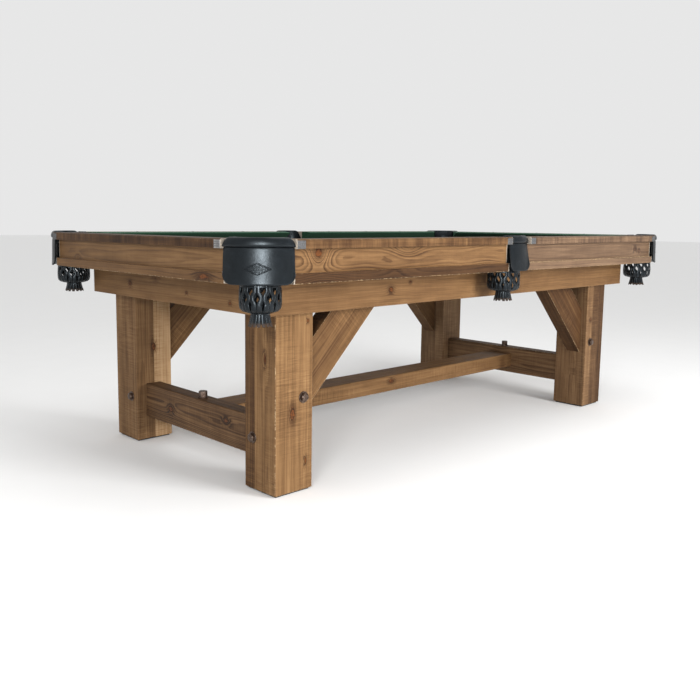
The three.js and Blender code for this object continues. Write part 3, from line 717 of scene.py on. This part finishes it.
for name, (along, outward, cap_tone, tone, grey, (held_back, trim_tone), marks) in BORDERS.items():
    heart_side = along.cross(Z).dot(outward)
    timber(f"rail_{name}", along, Z, (0.01, -0.09 * heart_side), cap_tone, width=0.9 * MM, rings=0.4,
           saw=0.3, bands=1.5, matt=0.55, grey=grey, knots=0.7, wear=0.7, ends=1.0)
    timber(f"apron_{name}", along, Z, (0.015, -0.055 * heart_side), tone, width=0.9 * MM, rings=0.55,
           streaks=0.5, saw=0.1, bands=0.12, matt=0.55, grey=grey, knots=0.8, marks=marks, wear=0.6,
           ends=1.0, trim=(TRIM_TOP, held_back, trim_tone), **FIGURED_APRON.get(name, {}))

# ---- mesh helpers


def add_piece(name, vertices, faces, materials, smooth=True, second=()):
    """A new piece that rides with the table. second lists the faces of the second material."""
    mesh = bpy.data.meshes.new(name)
    mesh.from_pydata([tuple(v) for v in vertices], [], faces)
    for material in materials:
        mesh.materials.append(material)
    for index in second:
        mesh.polygons[index].material_index = 1
    work = bmesh.new()
    work.from_mesh(mesh)
    bmesh.ops.remove_doubles(work, verts=work.verts, dist=0.001 * MM)
    bmesh.ops.recalc_face_normals(work, faces=work.faces)
    work.to_mesh(mesh)
    work.free()
    if smooth:
        mesh.shade_smooth()
    piece = add_object(name, mesh)
    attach(piece, "root")
    return piece


def soften(piece, width, angle):
    """Rounds a new piece's sharp edges."""
    round_edges(piece, "soft_edges", width, 3, angle).harden_normals = True


class Shell:
    """Collects lofted bodies into one piece's vertices and faces."""

    def __init__(self):
        self.vertices = []
        self.faces = []
        self.second = []

    def loft(self, rings, second_from=None):
        """A closed body through rings of equal count. Faces past ring second_from take the
        second material."""
        count = len(rings[0])
        start = len(self.vertices)
        for ring in rings:
            self.vertices.extend(ring)
        last = start + count * (len(rings) - 1)
        self.faces.append([start + i for i in range(count)])
        for step in range(len(rings) - 1):
            base = start + step * count
            for i in range(count):
                j = (i + 1) % count
                if second_from is not None and step >= second_from:
                    self.second.append(len(self.faces))
                self.faces.append([base + i, base + count + i, base + count + j, base + j])
        if second_from is not None:
            self.second.append(len(self.faces))
        self.faces.append([last + i for i in reversed(range(count))])

    def band(self, profile, segments=48):
        """A closed ring turned from a closed (radius, height) outline."""
        start = len(self.vertices)
        count = len(profile)
        for i in range(segments):
            self.vertices.extend(polar(radius, 2 * pi * i / segments, z) for radius, z in profile)
        for i in range(segments):
            a, b = start + i * count, start + ((i + 1) % segments) * count
            for k in range(count):
                m = (k + 1) % count
                self.faces.append([a + k, b + k, b + m, a + m])

    def piece(self, name, materials, slot, place=Matrix(), smooth=True):
        """One piece from all the bodies, put where place says."""
        vertices = [place @ vertex for vertex in self.vertices]
        return add_piece(name, vertices, self.faces, materials, smooth, self.second)


def loop(centre, across, up, sides, size=1.0):
    """Points round an ellipse whose half axes are size times across and up."""
    turns = [2 * pi * k / sides for k in range(sides)]
    return [centre + (across * cos(turn) + up * sin(turn)) * size for turn in turns]


# ---- bed cloth


def bed_outline(grow):
    """The bed's edge in plan, grown outward, with its notches round the pockets."""
    hx, hy = half_bed_x + grow, half_bed_y + grow
    corner_radius, side_radius = CORNER_NOTCH - grow, SIDE_NOTCH - grow
    points = []
    stops = [(corner_x, corner_y, corner_radius, 1, 1), (0, side_y, side_radius, 0, 1),
             (-corner_x, corner_y, corner_radius, -1, 1), (-corner_x, -corner_y, corner_radius, -1, -1),
             (0, -side_y, side_radius, 0, -1), (corner_x, -corner_y, corner_radius, 1, -1)]
    for x, y, radius, sx, sy in stops:
        dx = sqrt(radius ** 2 - (hy - abs(y)) ** 2)
        if sx == 0:
            start = atan2(sy * (hy - abs(y)), sy * dx)
            end = atan2(sy * (hy - abs(y)), -sy * dx)
        else:
            dy = sqrt(radius ** 2 - (hx - abs(x)) ** 2)
            on_end = atan2(-sy * dy, sx * (hx - abs(x)))
            on_side = atan2(sy * (hy - abs(y)), -sx * dx)
            start, end = (on_end, on_side) if sx * sy > 0 else (on_side, on_end)
        sweep = -((start - end) % (2 * pi))
        for i in range(NOTCH_STEPS + 1):
            angle = start + sweep * i / NOTCH_STEPS
            points.append(Vector((x + radius * cos(angle), y + radius * sin(angle), 0)))
    return points


def bed_cloth():
    """Cloth over the slate, rolled over its edge and folded down to the liner's underside."""
    inner = 0.4 * MM
    outer = inner + CLOTH_THICKNESS
    fold = 0.6 * MM
    hem = bed_height - CLOTH_DROP
    under = bed_height - CLOTH_THICKNESS
    levels = []
    for step in reversed(range(5)):
        angle = pi / 2 * step / 4
        levels.append((outer - CLOTH_EDGE_RADIUS * (1 - cos(angle)),
                       bed_height - CLOTH_EDGE_RADIUS * (1 - sin(angle))))
    levels += [(outer, hem), (inner, hem), (inner, under - fold), (inner - fold, under)]
    shell = Shell()
    shell.loft([[point + Z * height for point in bed_outline(grow)] for grow, height in levels])
    piece = shell.piece("stretched_bed_cloth", [CLOTH], "cloth", smooth=False)
    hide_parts("bed_cloth")


bed_cloth()

# ---- cushions

CUSHION_STEPS = 90
FACE_STEPS = 8
NOSE_SWEEP = pi * 0.86
CUSHION_CROWN = 1.0 * MM
CUSHION_HOLLOW = 1.2 * MM
CUSHION_GAP = 0.3 * MM
GATHER = 0.35 * MM  # how much the cloth puckers where it is folded in at the ends
GATHER_REACH = 9 * MM
PUCKERS = (900, 700)  # how fast they follow one another, outward and up
END_ROUND = 2.5 * MM


def cushion_profile():
    """(outward, height) from the top back edge over the nose to the bottom back edge."""
    points = []
    for i in range(FACE_STEPS + 1):
        t = i / FACE_STEPS
        points.append((blend(CUSHION_WIDTH, NOSE_RADIUS, t),
                       blend(rail_top, NOSE_HEIGHT + NOSE_RADIUS, t) + CUSHION_CROWN * sin(pi * t)))
    for i in range(1, FACE_STEPS):
        angle = pi / 2 + NOSE_SWEEP * i / FACE_STEPS
        points.append((NOSE_RADIUS + NOSE_RADIUS * cos(angle),
                       NOSE_HEIGHT + NOSE_RADIUS * sin(angle)))
    for i in range(FACE_STEPS + 1):
        t = i / FACE_STEPS
        points.append((blend(NOSE_RADIUS * 1.4, CUSHION_WIDTH, t),
                       blend(NOSE_HEIGHT - NOSE_RADIUS, CUSHION_BACK_BOTTOM, t)
                       + CUSHION_HOLLOW * sin(pi * t)))
    return points


def cushion(name, side_turn, nose_line, start, end):
    """A rubber cushion under tight cloth. start and end are (nose, back) places along the side."""
    turn = Matrix.Rotation(radians(side_turn), 4, "Z")
    profile = cushion_profile()
    centre_u = sum(u for u, _ in profile) / len(profile)
    centre_z = sum(z for _, z in profile) / len(profile)
    rings = []
    for step in range(CUSHION_STEPS + 1):
        t = step / CUSHION_STEPS
        ring = []
        for u, z in profile:
            lean = u / CUSHION_WIDTH
            from_x = blend(*start, lean) + CUSHION_GAP
            to_x = blend(*end, lean) - CUSHION_GAP
            x = blend(from_x, to_x, t)
            room = min(x - from_x, to_x - x)
            gather = GATHER * exp(-room / GATHER_REACH) * sin(u * PUCKERS[0] + z * PUCKERS[1])
            pull = 1 - 0.05 * max(0.0, 1 - room / END_ROUND) ** 2
            u_in = centre_u + (u - centre_u) * pull
            z_in = centre_z + (z - centre_z) * pull + gather
            ring.append(turn @ Vector((x, nose_line + u_in, z_in)))
        rings.append(ring)
    shell = Shell()
    shell.loft(rings)
    piece = shell.piece(f"cushion_cloth_{name}", [CLOTH], "cushion")
    soften(piece, 0.8 * MM, 50)
    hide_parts(f"cushion_{name}")


def mirrored(stop):
    return tuple(-place for place in stop)


side_stop = tuple(half_play_x - short for short in CORNER_STOP)
end_stop = tuple(half_play_y - short for short in CORNER_STOP)
CUSHIONS = {
    "back_left": (0, half_play_y, mirrored(side_stop), mirrored(SIDE_STOP)),
    "back_right": (0, half_play_y, SIDE_STOP, side_stop),
    "front_right": (180, half_play_y, mirrored(side_stop), mirrored(SIDE_STOP)),
    "front_left": (180, half_play_y, SIDE_STOP, side_stop),
    "left_end": (90, half_play_x, mirrored(end_stop), end_stop),
    "right_end": (-90, half_play_x, mirrored(end_stop), end_stop),
}
for name, layout in CUSHIONS.items():
    cushion(name, *layout)

# ---- pocket shields

ARC_CENTRE = SHIELD_REACH - SHIELD_RADIUS
SHIELD_COLUMNS = 61
SKIRT_ROWS = 22


def on_shield(angle, radius, height):
    """A point at an angle round the shield's own centre, in the pocket's frame."""
    return Vector((radius * sin(angle), ARC_CENTRE + radius * cos(angle), height))


def skirt_offset(fall):
    """How far the skirt's face stands in or out, from the seam (0) to the hem (1)."""
    return SKIRT_HOLLOW * (-(1 - fall) ** 3) + SKIRT_KICK * fall ** 5


def shield_column(pocket, a):
    """The closed section of the leather at one place across the shield, from -1 to 1."""
    half_width, hole = pocket["half_width"], pocket["hole"]
    angle = a * asin(half_width / SHIELD_RADIUS)
    across = abs(SHIELD_RADIUS * sin(angle))
    past_top = max(0.0, across - (half_width - TOP_ROUND))
    past_bottom = max(0.0, across - (half_width - BOTTOM_ROUND))
    top = LIP_TOP - TOP_ROUND + sqrt(max(0.0, TOP_ROUND ** 2 - past_top ** 2))
    bottom = SHIELD_BOTTOM + BOTTOM_ROUND - sqrt(max(0.0, BOTTOM_ROUND ** 2 - past_bottom ** 2))
    inner = polar(hole, radians(a * pocket["hole_sweep"]))
    lip_edge = on_shield(angle, SHIELD_RADIUS, 0)
    width = (lip_edge - inner).length
    inward = (inner - lip_edge).normalized()

    # The top of the leather, from the hole to the lip
    ring = [inner + Z * IRON_BOTTOM, inner + Z * (IRON_BOTTOM + 12 * MM)]
    inner_round = min(9 * MM, width * 0.4)
    outer_round = min(LIP_ROLL, width * 0.5)
    for i in range(1, 5):
        t = i / 5
        crown = LIP_CROWN * sin(pi * (0.25 + 0.5 * t))
        from_hole = blend(inner_round, width - outer_round, t)
        ring.append(inner - inward * from_hole + Z * (top - LIP_CROWN + crown))

    # The rolled lip, down to the seam
    shoulder = (top - SEAM_HEIGHT) * LIP_SHOULDER
    tuck = top - SEAM_HEIGHT - shoulder
    for i in range(13):
        turn = LIP_TURN * i / 12
        out = SHIELD_RADIUS + LIP_BULGE - outer_round * (1 - sin(turn))
        above = cos(turn)
        drop = shoulder * (1 - above) if above > 0 else shoulder - tuck * above
        ring.append(on_shield(angle, out, top - drop))

    # The skirt's face, its hem and its back
    seam = SEAM_HEIGHT - 0.5 * MM
    face = SHIELD_RADIUS - SKIRT_STEP
    ring.append(on_shield(angle, face - 2.6 * MM, seam))
    ring.append(on_shield(angle, face - 2.4 * MM, seam - 1.5 * MM))
    flare = pocket["flare"] * a ** 2
    for i in range(SKIRT_ROWS + 1):
        fall = i / SKIRT_ROWS
        height = blend(seam - 3 * MM, bottom + 1.5 * MM, fall)
        ring.append(on_shield(angle, face + skirt_offset(fall) + flare * fall ** 1.5, height))
    lift = flare + skirt_offset(1)
    back = face - SKIRT_THICKNESS
    for out, height in ((face + lift - 1.0 * MM, bottom + 0.3 * MM), (back + lift + 1.0 * MM, bottom),
                        (back + lift, bottom + 1.5 * MM),
                        (back + lift * 0.35, blend(bottom, IRON_BOTTOM, 0.5)), (back, IRON_BOTTOM)):
        ring.append(on_shield(angle, out, height))
    return ring


def ear(shell, side):
    """The leather-wrapped arm of the iron that runs on round a corner pocket's hole."""
    low, high = CORNER_POCKET["hole"], EAR_RADIUS
    mid = (low + high) / 2
    rings = []
    for step in range(EAR_STEPS + 1):
        around = radians(side * blend(*EAR_SWEEP, step / EAR_STEPS))
        shrink = max(0.0, (step - (EAR_STEPS - EAR_TIP)) / EAR_TIP) ** 2
        half = (high - low) / 2 * (1 - 0.55 * shrink)
        top = EAR_TOP - EAR_DROOP * shrink
        section = [(mid - half, IRON_BOTTOM), (mid - half, top - half)]
        for i in range(1, 8):
            turn = pi * i / 8
            section.append((mid - half * cos(turn), top - half + half * sin(turn)))
        section += [(mid + half, top - half), (mid + half, IRON_BOTTOM)]
        rings.append([polar(radius, around, z) for radius, z in section])
    shell.loft(rings)


def bead(shell, path, radius, sides=6):
    """A thin raised cord of leather through a list of (point, outward normal)."""
    rings = []
    for i, (point, normal) in enumerate(path):
        ahead = path[min(i + 1, len(path) - 1)][0] - path[max(i - 1, 0)][0]
        binormal = ahead.normalized().cross(normal)
        size = radius * (0.35 if i in (0, len(path) - 1) else 1.0)
        rings.append(loop(point, binormal, normal, sides, size))
    shell.loft(rings)


def on_skirt(s, height, lift=0.0):
    """A point on the skirt's face at an arc length from its middle, and the normal there."""
    angle = s / (SHIELD_RADIUS - SKIRT_STEP)
    fall = min(1.0, max(0.0, (SEAM_HEIGHT - height) / (SEAM_HEIGHT - SHIELD_BOTTOM)))
    point = on_shield(angle, SHIELD_RADIUS - SKIRT_STEP + skirt_offset(fall) + lift, height)
    return point, polar(1, angle)


def tooled_diamond(shell):
    """A plain tooled ornament: two nested diamonds of beads round a field of pips."""
    for size, radius in DIAMOND_CORDS:
        length, rise = (half * size for half in DIAMOND_HALF)
        tips = [(length, 0), (0, rise), (-length, 0), (0, -rise)]
        for (s0, h0), (s1, h1) in zip(tips, tips[1:] + tips[:1]):
            bead(shell, [on_skirt(blend(s0, s1, i / 12), DIAMOND_HEIGHT + blend(h0, h1, i / 12))
                         for i in range(13)], radius)
    for row in range(-3, 4):
        for column in range(-10, 11):
            s, h = (column + 0.5 * (row % 2)) * PIP_PITCH[0], row * PIP_PITCH[1]
            if abs(s) / DIAMOND_HALF[0] + abs(h) / DIAMOND_HALF[1] > PIP_FIELD:
                continue
            point, normal = on_skirt(s, DIAMOND_HEIGHT + h)
            sideways = Z.cross(normal)
            shell.loft([[point + normal * lift * MM + away * MM
                         for away in loop(Vector(), sideways, Z, 8, size)]
                        for lift, size in PIP_SECTION])


def shield(pocket, name, place):
    shell = Shell()
    columns = [-cos(pi * i / (SHIELD_COLUMNS - 1)) for i in range(SHIELD_COLUMNS)]
    shell.loft([shield_column(pocket, a) for a in columns])
    if pocket is CORNER_POCKET:
        ear(shell, 1)
        ear(shell, -1)
        tooled_diamond(shell)
    piece = shell.piece(f"leather_shield_{name}", [LEATHER], "leather", place)
    soften(piece, 0.8 * MM, 60)
    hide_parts(f"pocket_shield_{name}")


# ---- net baskets


def net_lane(height):
    """Which neighbour a strap lies against at a height: 1, 0, or on its way between them."""
    for (high, before), (low, after) in zip(NET_LANES, NET_LANES[1:]):
        if low * MM <= height <= high * MM:
            t = (high * MM - height) / ((high - low) * MM)
            return blend(before, after, t * t * (3 - 2 * t))
    return NET_LANES[-1][1]


def strap_width(height):
    """Straps widen where the net turns under."""
    (high, narrow), (low, wide) = STRAP_WIDTHS
    return blend(narrow, wide, min(1.0, max(0.0, (high - height) / (high - low))))


def strap(shell, start_angle, hand):
    """One strap of the net, swinging between its two neighbours to leave the openings."""
    spots, widths = [], []
    for (r0, z0), (r1, z1) in zip(NET_PROFILE, NET_PROFILE[1:]):
        for i in range(5):
            radius, height = blend(r0, r1, i / 5) * MM, blend(z0, z1, i / 5) * MM
            pitch = pi / NET_MESHES
            width = min(strap_width(height), radius * pitch * 1.03)
            touching = width * 0.48 / radius
            angle = start_angle + hand * blend(touching, pitch - touching, net_lane(height))
            inside = radius - STRAP_THICKNESS / 2
            spots.append(polar(inside, angle, height))
            widths.append(width)
    rings = []
    last = len(spots) - 1
    for i, spot in enumerate(spots):
        ahead = (spots[min(i + 1, last)] - spots[max(i - 1, 0)]).normalized()
        round_way = Vector((spot.y, -spot.x, 0)).normalized()
        normal = round_way.cross(ahead).normalized()
        sideways = ahead.cross(normal).normalized()
        rings.append(loop(spot, sideways * widths[i] / 2, normal * STRAP_THICKNESS / 2, STRAP_SIDES))
    shell.loft(rings)


def fringe(shell, chance):
    """The strap ends below the neck, curling outward, with raw cut tips."""
    for strip in range(FRINGE_STRIPS):
        turn = 2 * pi * strip / FRINGE_STRIPS + chance.uniform(-0.03, 0.03)
        bottom = FRINGE_BOTTOM + chance.uniform(0, 3) * MM
        start_radius, end_radius = FRINGE_RADII
        flare = end_radius - chance.uniform(0, 1.5) * MM
        rings = []
        steps = 12
        for i in range(steps + 1):
            t = i / steps
            width = blend(*FRINGE_WIDTHS, t) * (0.8 if i == steps else 1.0)
            spot = polar(blend(start_radius, flare, t ** 1.5), turn, blend(FRINGE_TOP, bottom, t))
            normal = polar(1, turn, 0.35 * t).normalized()
            sideways = Vector((cos(turn), -sin(turn), 0))
            rings.append(loop(spot, sideways * width / 2, normal * FRINGE_THICKNESS / 2, STRAP_SIDES))
        shell.loft(rings, second_from=steps - 3)


def basket(name, place, hang, seed):
    """Collar, straps, neck and fringe. hang is how much of its full length the net hangs down."""
    chance = random.Random(seed)
    shell = Shell()
    inner, outer = COLLAR_RADII
    shell.band([(inner, COLLAR_BOTTOM + 1 * MM), (inner + 1.2 * MM, COLLAR_BOTTOM),
                (outer + 1.2 * MM, COLLAR_BOTTOM), (outer + 1.6 * MM, COLLAR_BOTTOM + 2.5 * MM),
                (outer, COLLAR_BOTTOM + 7 * MM), (outer, COLLAR_TOP), (inner, COLLAR_TOP)])
    for i in range(NET_MESHES):
        angle = radians(NET_TURN) + 2 * pi * i / NET_MESHES
        strap(shell, angle, 1)
        strap(shell, angle, -1)
    shell.band([(radius * MM, height * MM) for radius, height in NECK_PROFILE], 28)
    fringe(shell, chance)
    for v in shell.vertices:
        v.z -= min(0.0, v.z - COLLAR_BOTTOM) * (1 - hang)
    piece = shell.piece(f"net_basket_{name}", [LEATHER, CUT_LEATHER], "leather", place)
    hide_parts(f"pocket_basket_{name}")


# Where each pocket is, how it is turned, its shape and how far its net hangs
POCKETS = {
    "back_right": (corner_x, corner_y, -45, CORNER_POCKET, 0.92),
    "back_left": (-corner_x, corner_y, 45, CORNER_POCKET, 0.84),
    "front_left": (-corner_x, -corner_y, 135, CORNER_POCKET, 1.0),
    "front_right": (corner_x, -corner_y, -135, CORNER_POCKET, 0.90),
    "back_middle": (0, side_y, 0, SIDE_POCKET, 0.96),
    "front_middle": (0, -side_y, 180, SIDE_POCKET, 0.94),
}
for index, (name, (x, y, turn, pocket, hang)) in enumerate(POCKETS.items()):
    place = Matrix.Translation((x, y, 0)) @ Matrix.Rotation(radians(turn), 4, "Z")
    shield(pocket, name, place)
    basket(name, place, hang, index)

# ---- bolts, plates, sights


def frame_at(point, outward):
    """A matrix that puts +Z along outward at a point, with X level."""
    level = Z.cross(outward).normalized() if abs(outward.z) < 0.9 else X.copy()
    upright = outward.cross(level)
    turn = Matrix((level, upright, outward)).transposed().to_4x4()
    return Matrix.Translation(point) @ turn


def disc(radius, height):
    return loop(Z * height, X * radius, Y * radius, 24)


def hexagon(radius, height, roundness, start):
    """Twenty-four points round a hexagon, drawn in towards its inner circle by roundness."""
    flat = radius * cos(pi / 6)
    points = []
    for k in range(24):
        angle = 2 * pi * k / 24
        within = (angle % (pi / 3)) - pi / 6
        reach = blend(flat / cos(within), flat, roundness)
        points.append(Vector((reach * cos(angle + start), reach * sin(angle + start), height)))
    return points


def leg_bolt(name, point, outward, start):
    """A forged hexagon head on a round washer, sitting on the face of a leg."""
    edge = 0.7 * MM
    top = WASHER_HEIGHT + HEAD_HEIGHT
    shell = Shell()
    shell.loft([disc(WASHER_RADIUS, 0.05 * MM), disc(WASHER_RADIUS, WASHER_HEIGHT - edge),
                disc(WASHER_RADIUS - edge, WASHER_HEIGHT), disc(WASHER_RADIUS * 0.5, WASHER_HEIGHT)])
    # (share of the radius, height, how round) up the head
    section = [(0.97, WASHER_HEIGHT - 0.2 * MM, 0), (1.0, WASHER_HEIGHT + 0.8 * MM, 0),
               (1.0, top - 2.2 * MM, 0.05), (0.97, top - 0.9 * MM, 0.7), (0.86, top, 1.0),
               (0.3, top + 0.5 * MM, 1.0)]
    shell.loft([hexagon(HEAD_RADIUS * share, height, roundness, start)
                for share, height, roundness in section])
    piece = shell.piece(f"leg_bolt_{name}", [IRON], "bolt_iron", frame_at(point, outward))
    soften(piece, 0.4 * MM, 35)


leg_x, leg_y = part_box("leg_back_right")[1].x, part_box("leg_back_right")[1].y
for corner, (sx, sy) in CORNERS.items():
    across, height = BOLT_END_FACE
    leg_bolt(f"{corner}_end", Vector((sx * leg_x, sy * across, height)), X * sx, draw.uniform(0, 1))
    across, height = BOLT_SIDE_FACE
    leg_bolt(f"{corner}_side", Vector((sx * across, sy * leg_y, height)), Y * sy, draw.uniform(0, 1))


def rail_plate(name, point, outward, metal):
    """A hammered plate on a rail's outer face, with a raised grid of small cushions."""
    half_w, half_h = PLATE_SIZE[0] / 2, PLATE_SIZE[1] / 2
    columns, rows = 31, 25
    matrix = frame_at(point, outward)
    vertices, faces, grooves = [], [], []

    def pillow(u, v):
        return abs(sin(u * pi * PLATE_CUSHIONS[0] / 2)) * abs(sin(v * pi * PLATE_CUSHIONS[1] / 2))

    def rim(u, v):
        return min(1.0, (1 - max(abs(u), abs(v))) / PLATE_RIM)

    for i in range(columns):
        for j in range(rows):
            u, v = -1 + 2 * i / (columns - 1), -1 + 2 * j / (rows - 1)
            lift = PLATE_THICKNESS * (0.45 + 0.35 * rim(u, v)) + PLATE_RELIEF * pillow(u, v) * rim(u, v)
            vertices.append(matrix @ Vector((u * half_w, v * half_h, lift)))
    for i in range(columns - 1):
        for j in range(rows - 1):
            u, v = -1 + (2 * i + 1) / (columns - 1), -1 + (2 * j + 1) / (rows - 1)
            if pillow(u, v) < 0.30 and rim(u, v) >= 1:
                grooves.append(len(faces))
            a = i * rows + j
            faces.append([a, a + rows, a + rows + 1, a + 1])
    edge = [i * rows for i in range(columns)]
    edge += [(columns - 1) * rows + j for j in range(1, rows)]
    edge += [i * rows + rows - 1 for i in reversed(range(columns - 1))]
    edge += [j for j in reversed(range(1, rows - 1))]
    back = len(vertices)
    for index in edge:
        spot = matrix.inverted() @ vertices[index]
        vertices.append(matrix @ Vector((spot.x, spot.y, 0.05 * MM)))
    for k in range(len(edge)):
        m = (k + 1) % len(edge)
        faces.append([edge[k], edge[m], back + m, back + k])
    faces.append([back + k for k in reversed(range(len(edge)))])
    add_piece(f"rail_plate_{name}", vertices, faces, [metal, GROOVE], second=grooves)


def sight(name, point):
    """A small domed inlay in the top of a rail."""
    section = [(1.0, 0.05), (0.97, 0.6), (0.75, 1.1), (0.35, 1.4), (0.05, 1.5)]
    shell = Shell()
    shell.loft([disc(SIGHT_RADIUS * share, height * MM) for share, height in section])
    shell.piece(f"rail_sight_{name}", [SIGHT], "sight", Matrix.Translation(point))


BRIGHT_PLATE = "left_end_a"  # the one plate left bright; the rest get painted shade, the same metal darkened
plate_height = rail_top - CAP_HEIGHT / 2 - PLATE_DROP
from_end = PLATE_INSET + PLATE_SIZE[0] / 2
for name, (along, outward, *_) in BORDERS.items():
    low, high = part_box(f"rail_{name}")
    start, finish = low.dot(along), high.dot(along)
    face = half_table_y if abs(outward.y) > 0 else half_table_x
    for end, place in (("a", start + from_end), ("b", finish - from_end)):
        plate = f"{name}_{end}"
        rail_plate(plate, along * place + outward * face + Z * plate_height, outward,
                   PEWTER if plate == BRIGHT_PLATE else PEWTER_PAINTED_SHADE)
    line = (half_play_y if abs(outward.y) > 0 else half_play_x) + SIGHT_LINE
    eighth = half_play_x / 4
    centre = eighth * 2 * (1 if start > 0 else -1 if finish < 0 else 0)
    for step in (-1, 0, 1):
        sight(f"{name}_{step + 2}", along * (centre + step * eighth) + outward * line + Z * rail_top)

# ---- floor, light and camera


def floor_build(g):
    """A plain pale studio floor."""
    speck = g.noise(g.place(), 6, 2)
    return g.mix(speck, (0.87, 0.87, 0.865), (0.89, 0.89, 0.885)), 0.9, g.times(speck, 0.01)


def stage_floor():
    mesh = bpy.data.meshes.new("studio_floor")
    corners = [(FLOOR_REACH * sx, FLOOR_REACH * sy, 0) for sx, sy in ((-1, -1), (1, -1), (1, 1), (-1, 1))]
    mesh.from_pydata(corners, [], [(0, 1, 2, 3)])
    mesh.materials.append(finish_material("pale_floor", floor_build, Specular_IOR_Level=0.2))
    add_object("studio_floor", mesh)


def softbox(name, place, aim, width, height, watts, in_reflections=True, on_surfaces=True):
    """A rectangular light. It can be left out of reflections, or light nothing but them."""
    data = bpy.data.lights.new(name, "AREA")
    data.shape = "RECTANGLE"
    data.size, data.size_y = width, height
    data.energy = watts
    lamp = add_object(name, data)
    lamp.location = place
    lamp.rotation_euler = (Vector(aim) - Vector(place)).to_track_quat("-Z", "Y").to_euler()
    lamp.visible_glossy = in_reflections
    lamp.visible_diffuse = on_surfaces


def studio_world():
    world = bpy.data.worlds.new("white_studio")
    world.use_nodes = True
    background = world.node_tree.nodes["Background"]
    background.inputs["Color"].default_value = (1.0, 1.0, 1.0, 1)
    background.inputs["Strength"].default_value = 0.80
    bpy.context.scene.world = world


def camera():
    """A 40 mm lens at the front left corner, a little above the rails."""
    yaw, pitch, roll = (radians(turn) for turn in CAMERA_TURN)
    forward = Vector((cos(yaw) * cos(pitch), sin(yaw) * cos(pitch), -sin(pitch)))
    level = Vector((sin(yaw), -cos(yaw), 0))
    above = level.cross(forward)
    right = level * cos(roll) + above * sin(roll)
    up = above * cos(roll) - level * sin(roll)
    data = bpy.data.cameras.new("studio_camera")
    data.sensor_width = SENSOR_WIDTH
    data.lens = LENS
    data.shift_x, data.shift_y = LENS_SHIFT
    eye = add_object("studio_camera", data)
    turn = Matrix((right, up, -forward)).transposed().to_4x4()
    eye.matrix_world = Matrix.Translation(CAMERA_PLACE) @ turn
    bpy.context.scene.camera = eye


stage_floor()
studio_world()
softbox("key", (0.5, -4.1, 1.35), (-1.5, 0, 0.45), 1.6, 1.2, 210, in_reflections=False)
softbox("fill", (-3.5, -2.45, 1.6), (-1.2, -0.65, 0.78), 0.7, 0.45, 58, in_reflections=False)
softbox("glint", (-3.22, -2.86, 0.98), (-1.2, -0.65, 0.78), 0.85, 0.45, 150, on_surfaces=False)
softbox("top", (0.3, 0, 3.6), (0, 0, 0.8), 3.2, 1.8, 18)
camera()
bpy.context.scene.view_settings.view_transform = "Standard"

bpy.context.view_layer.update()
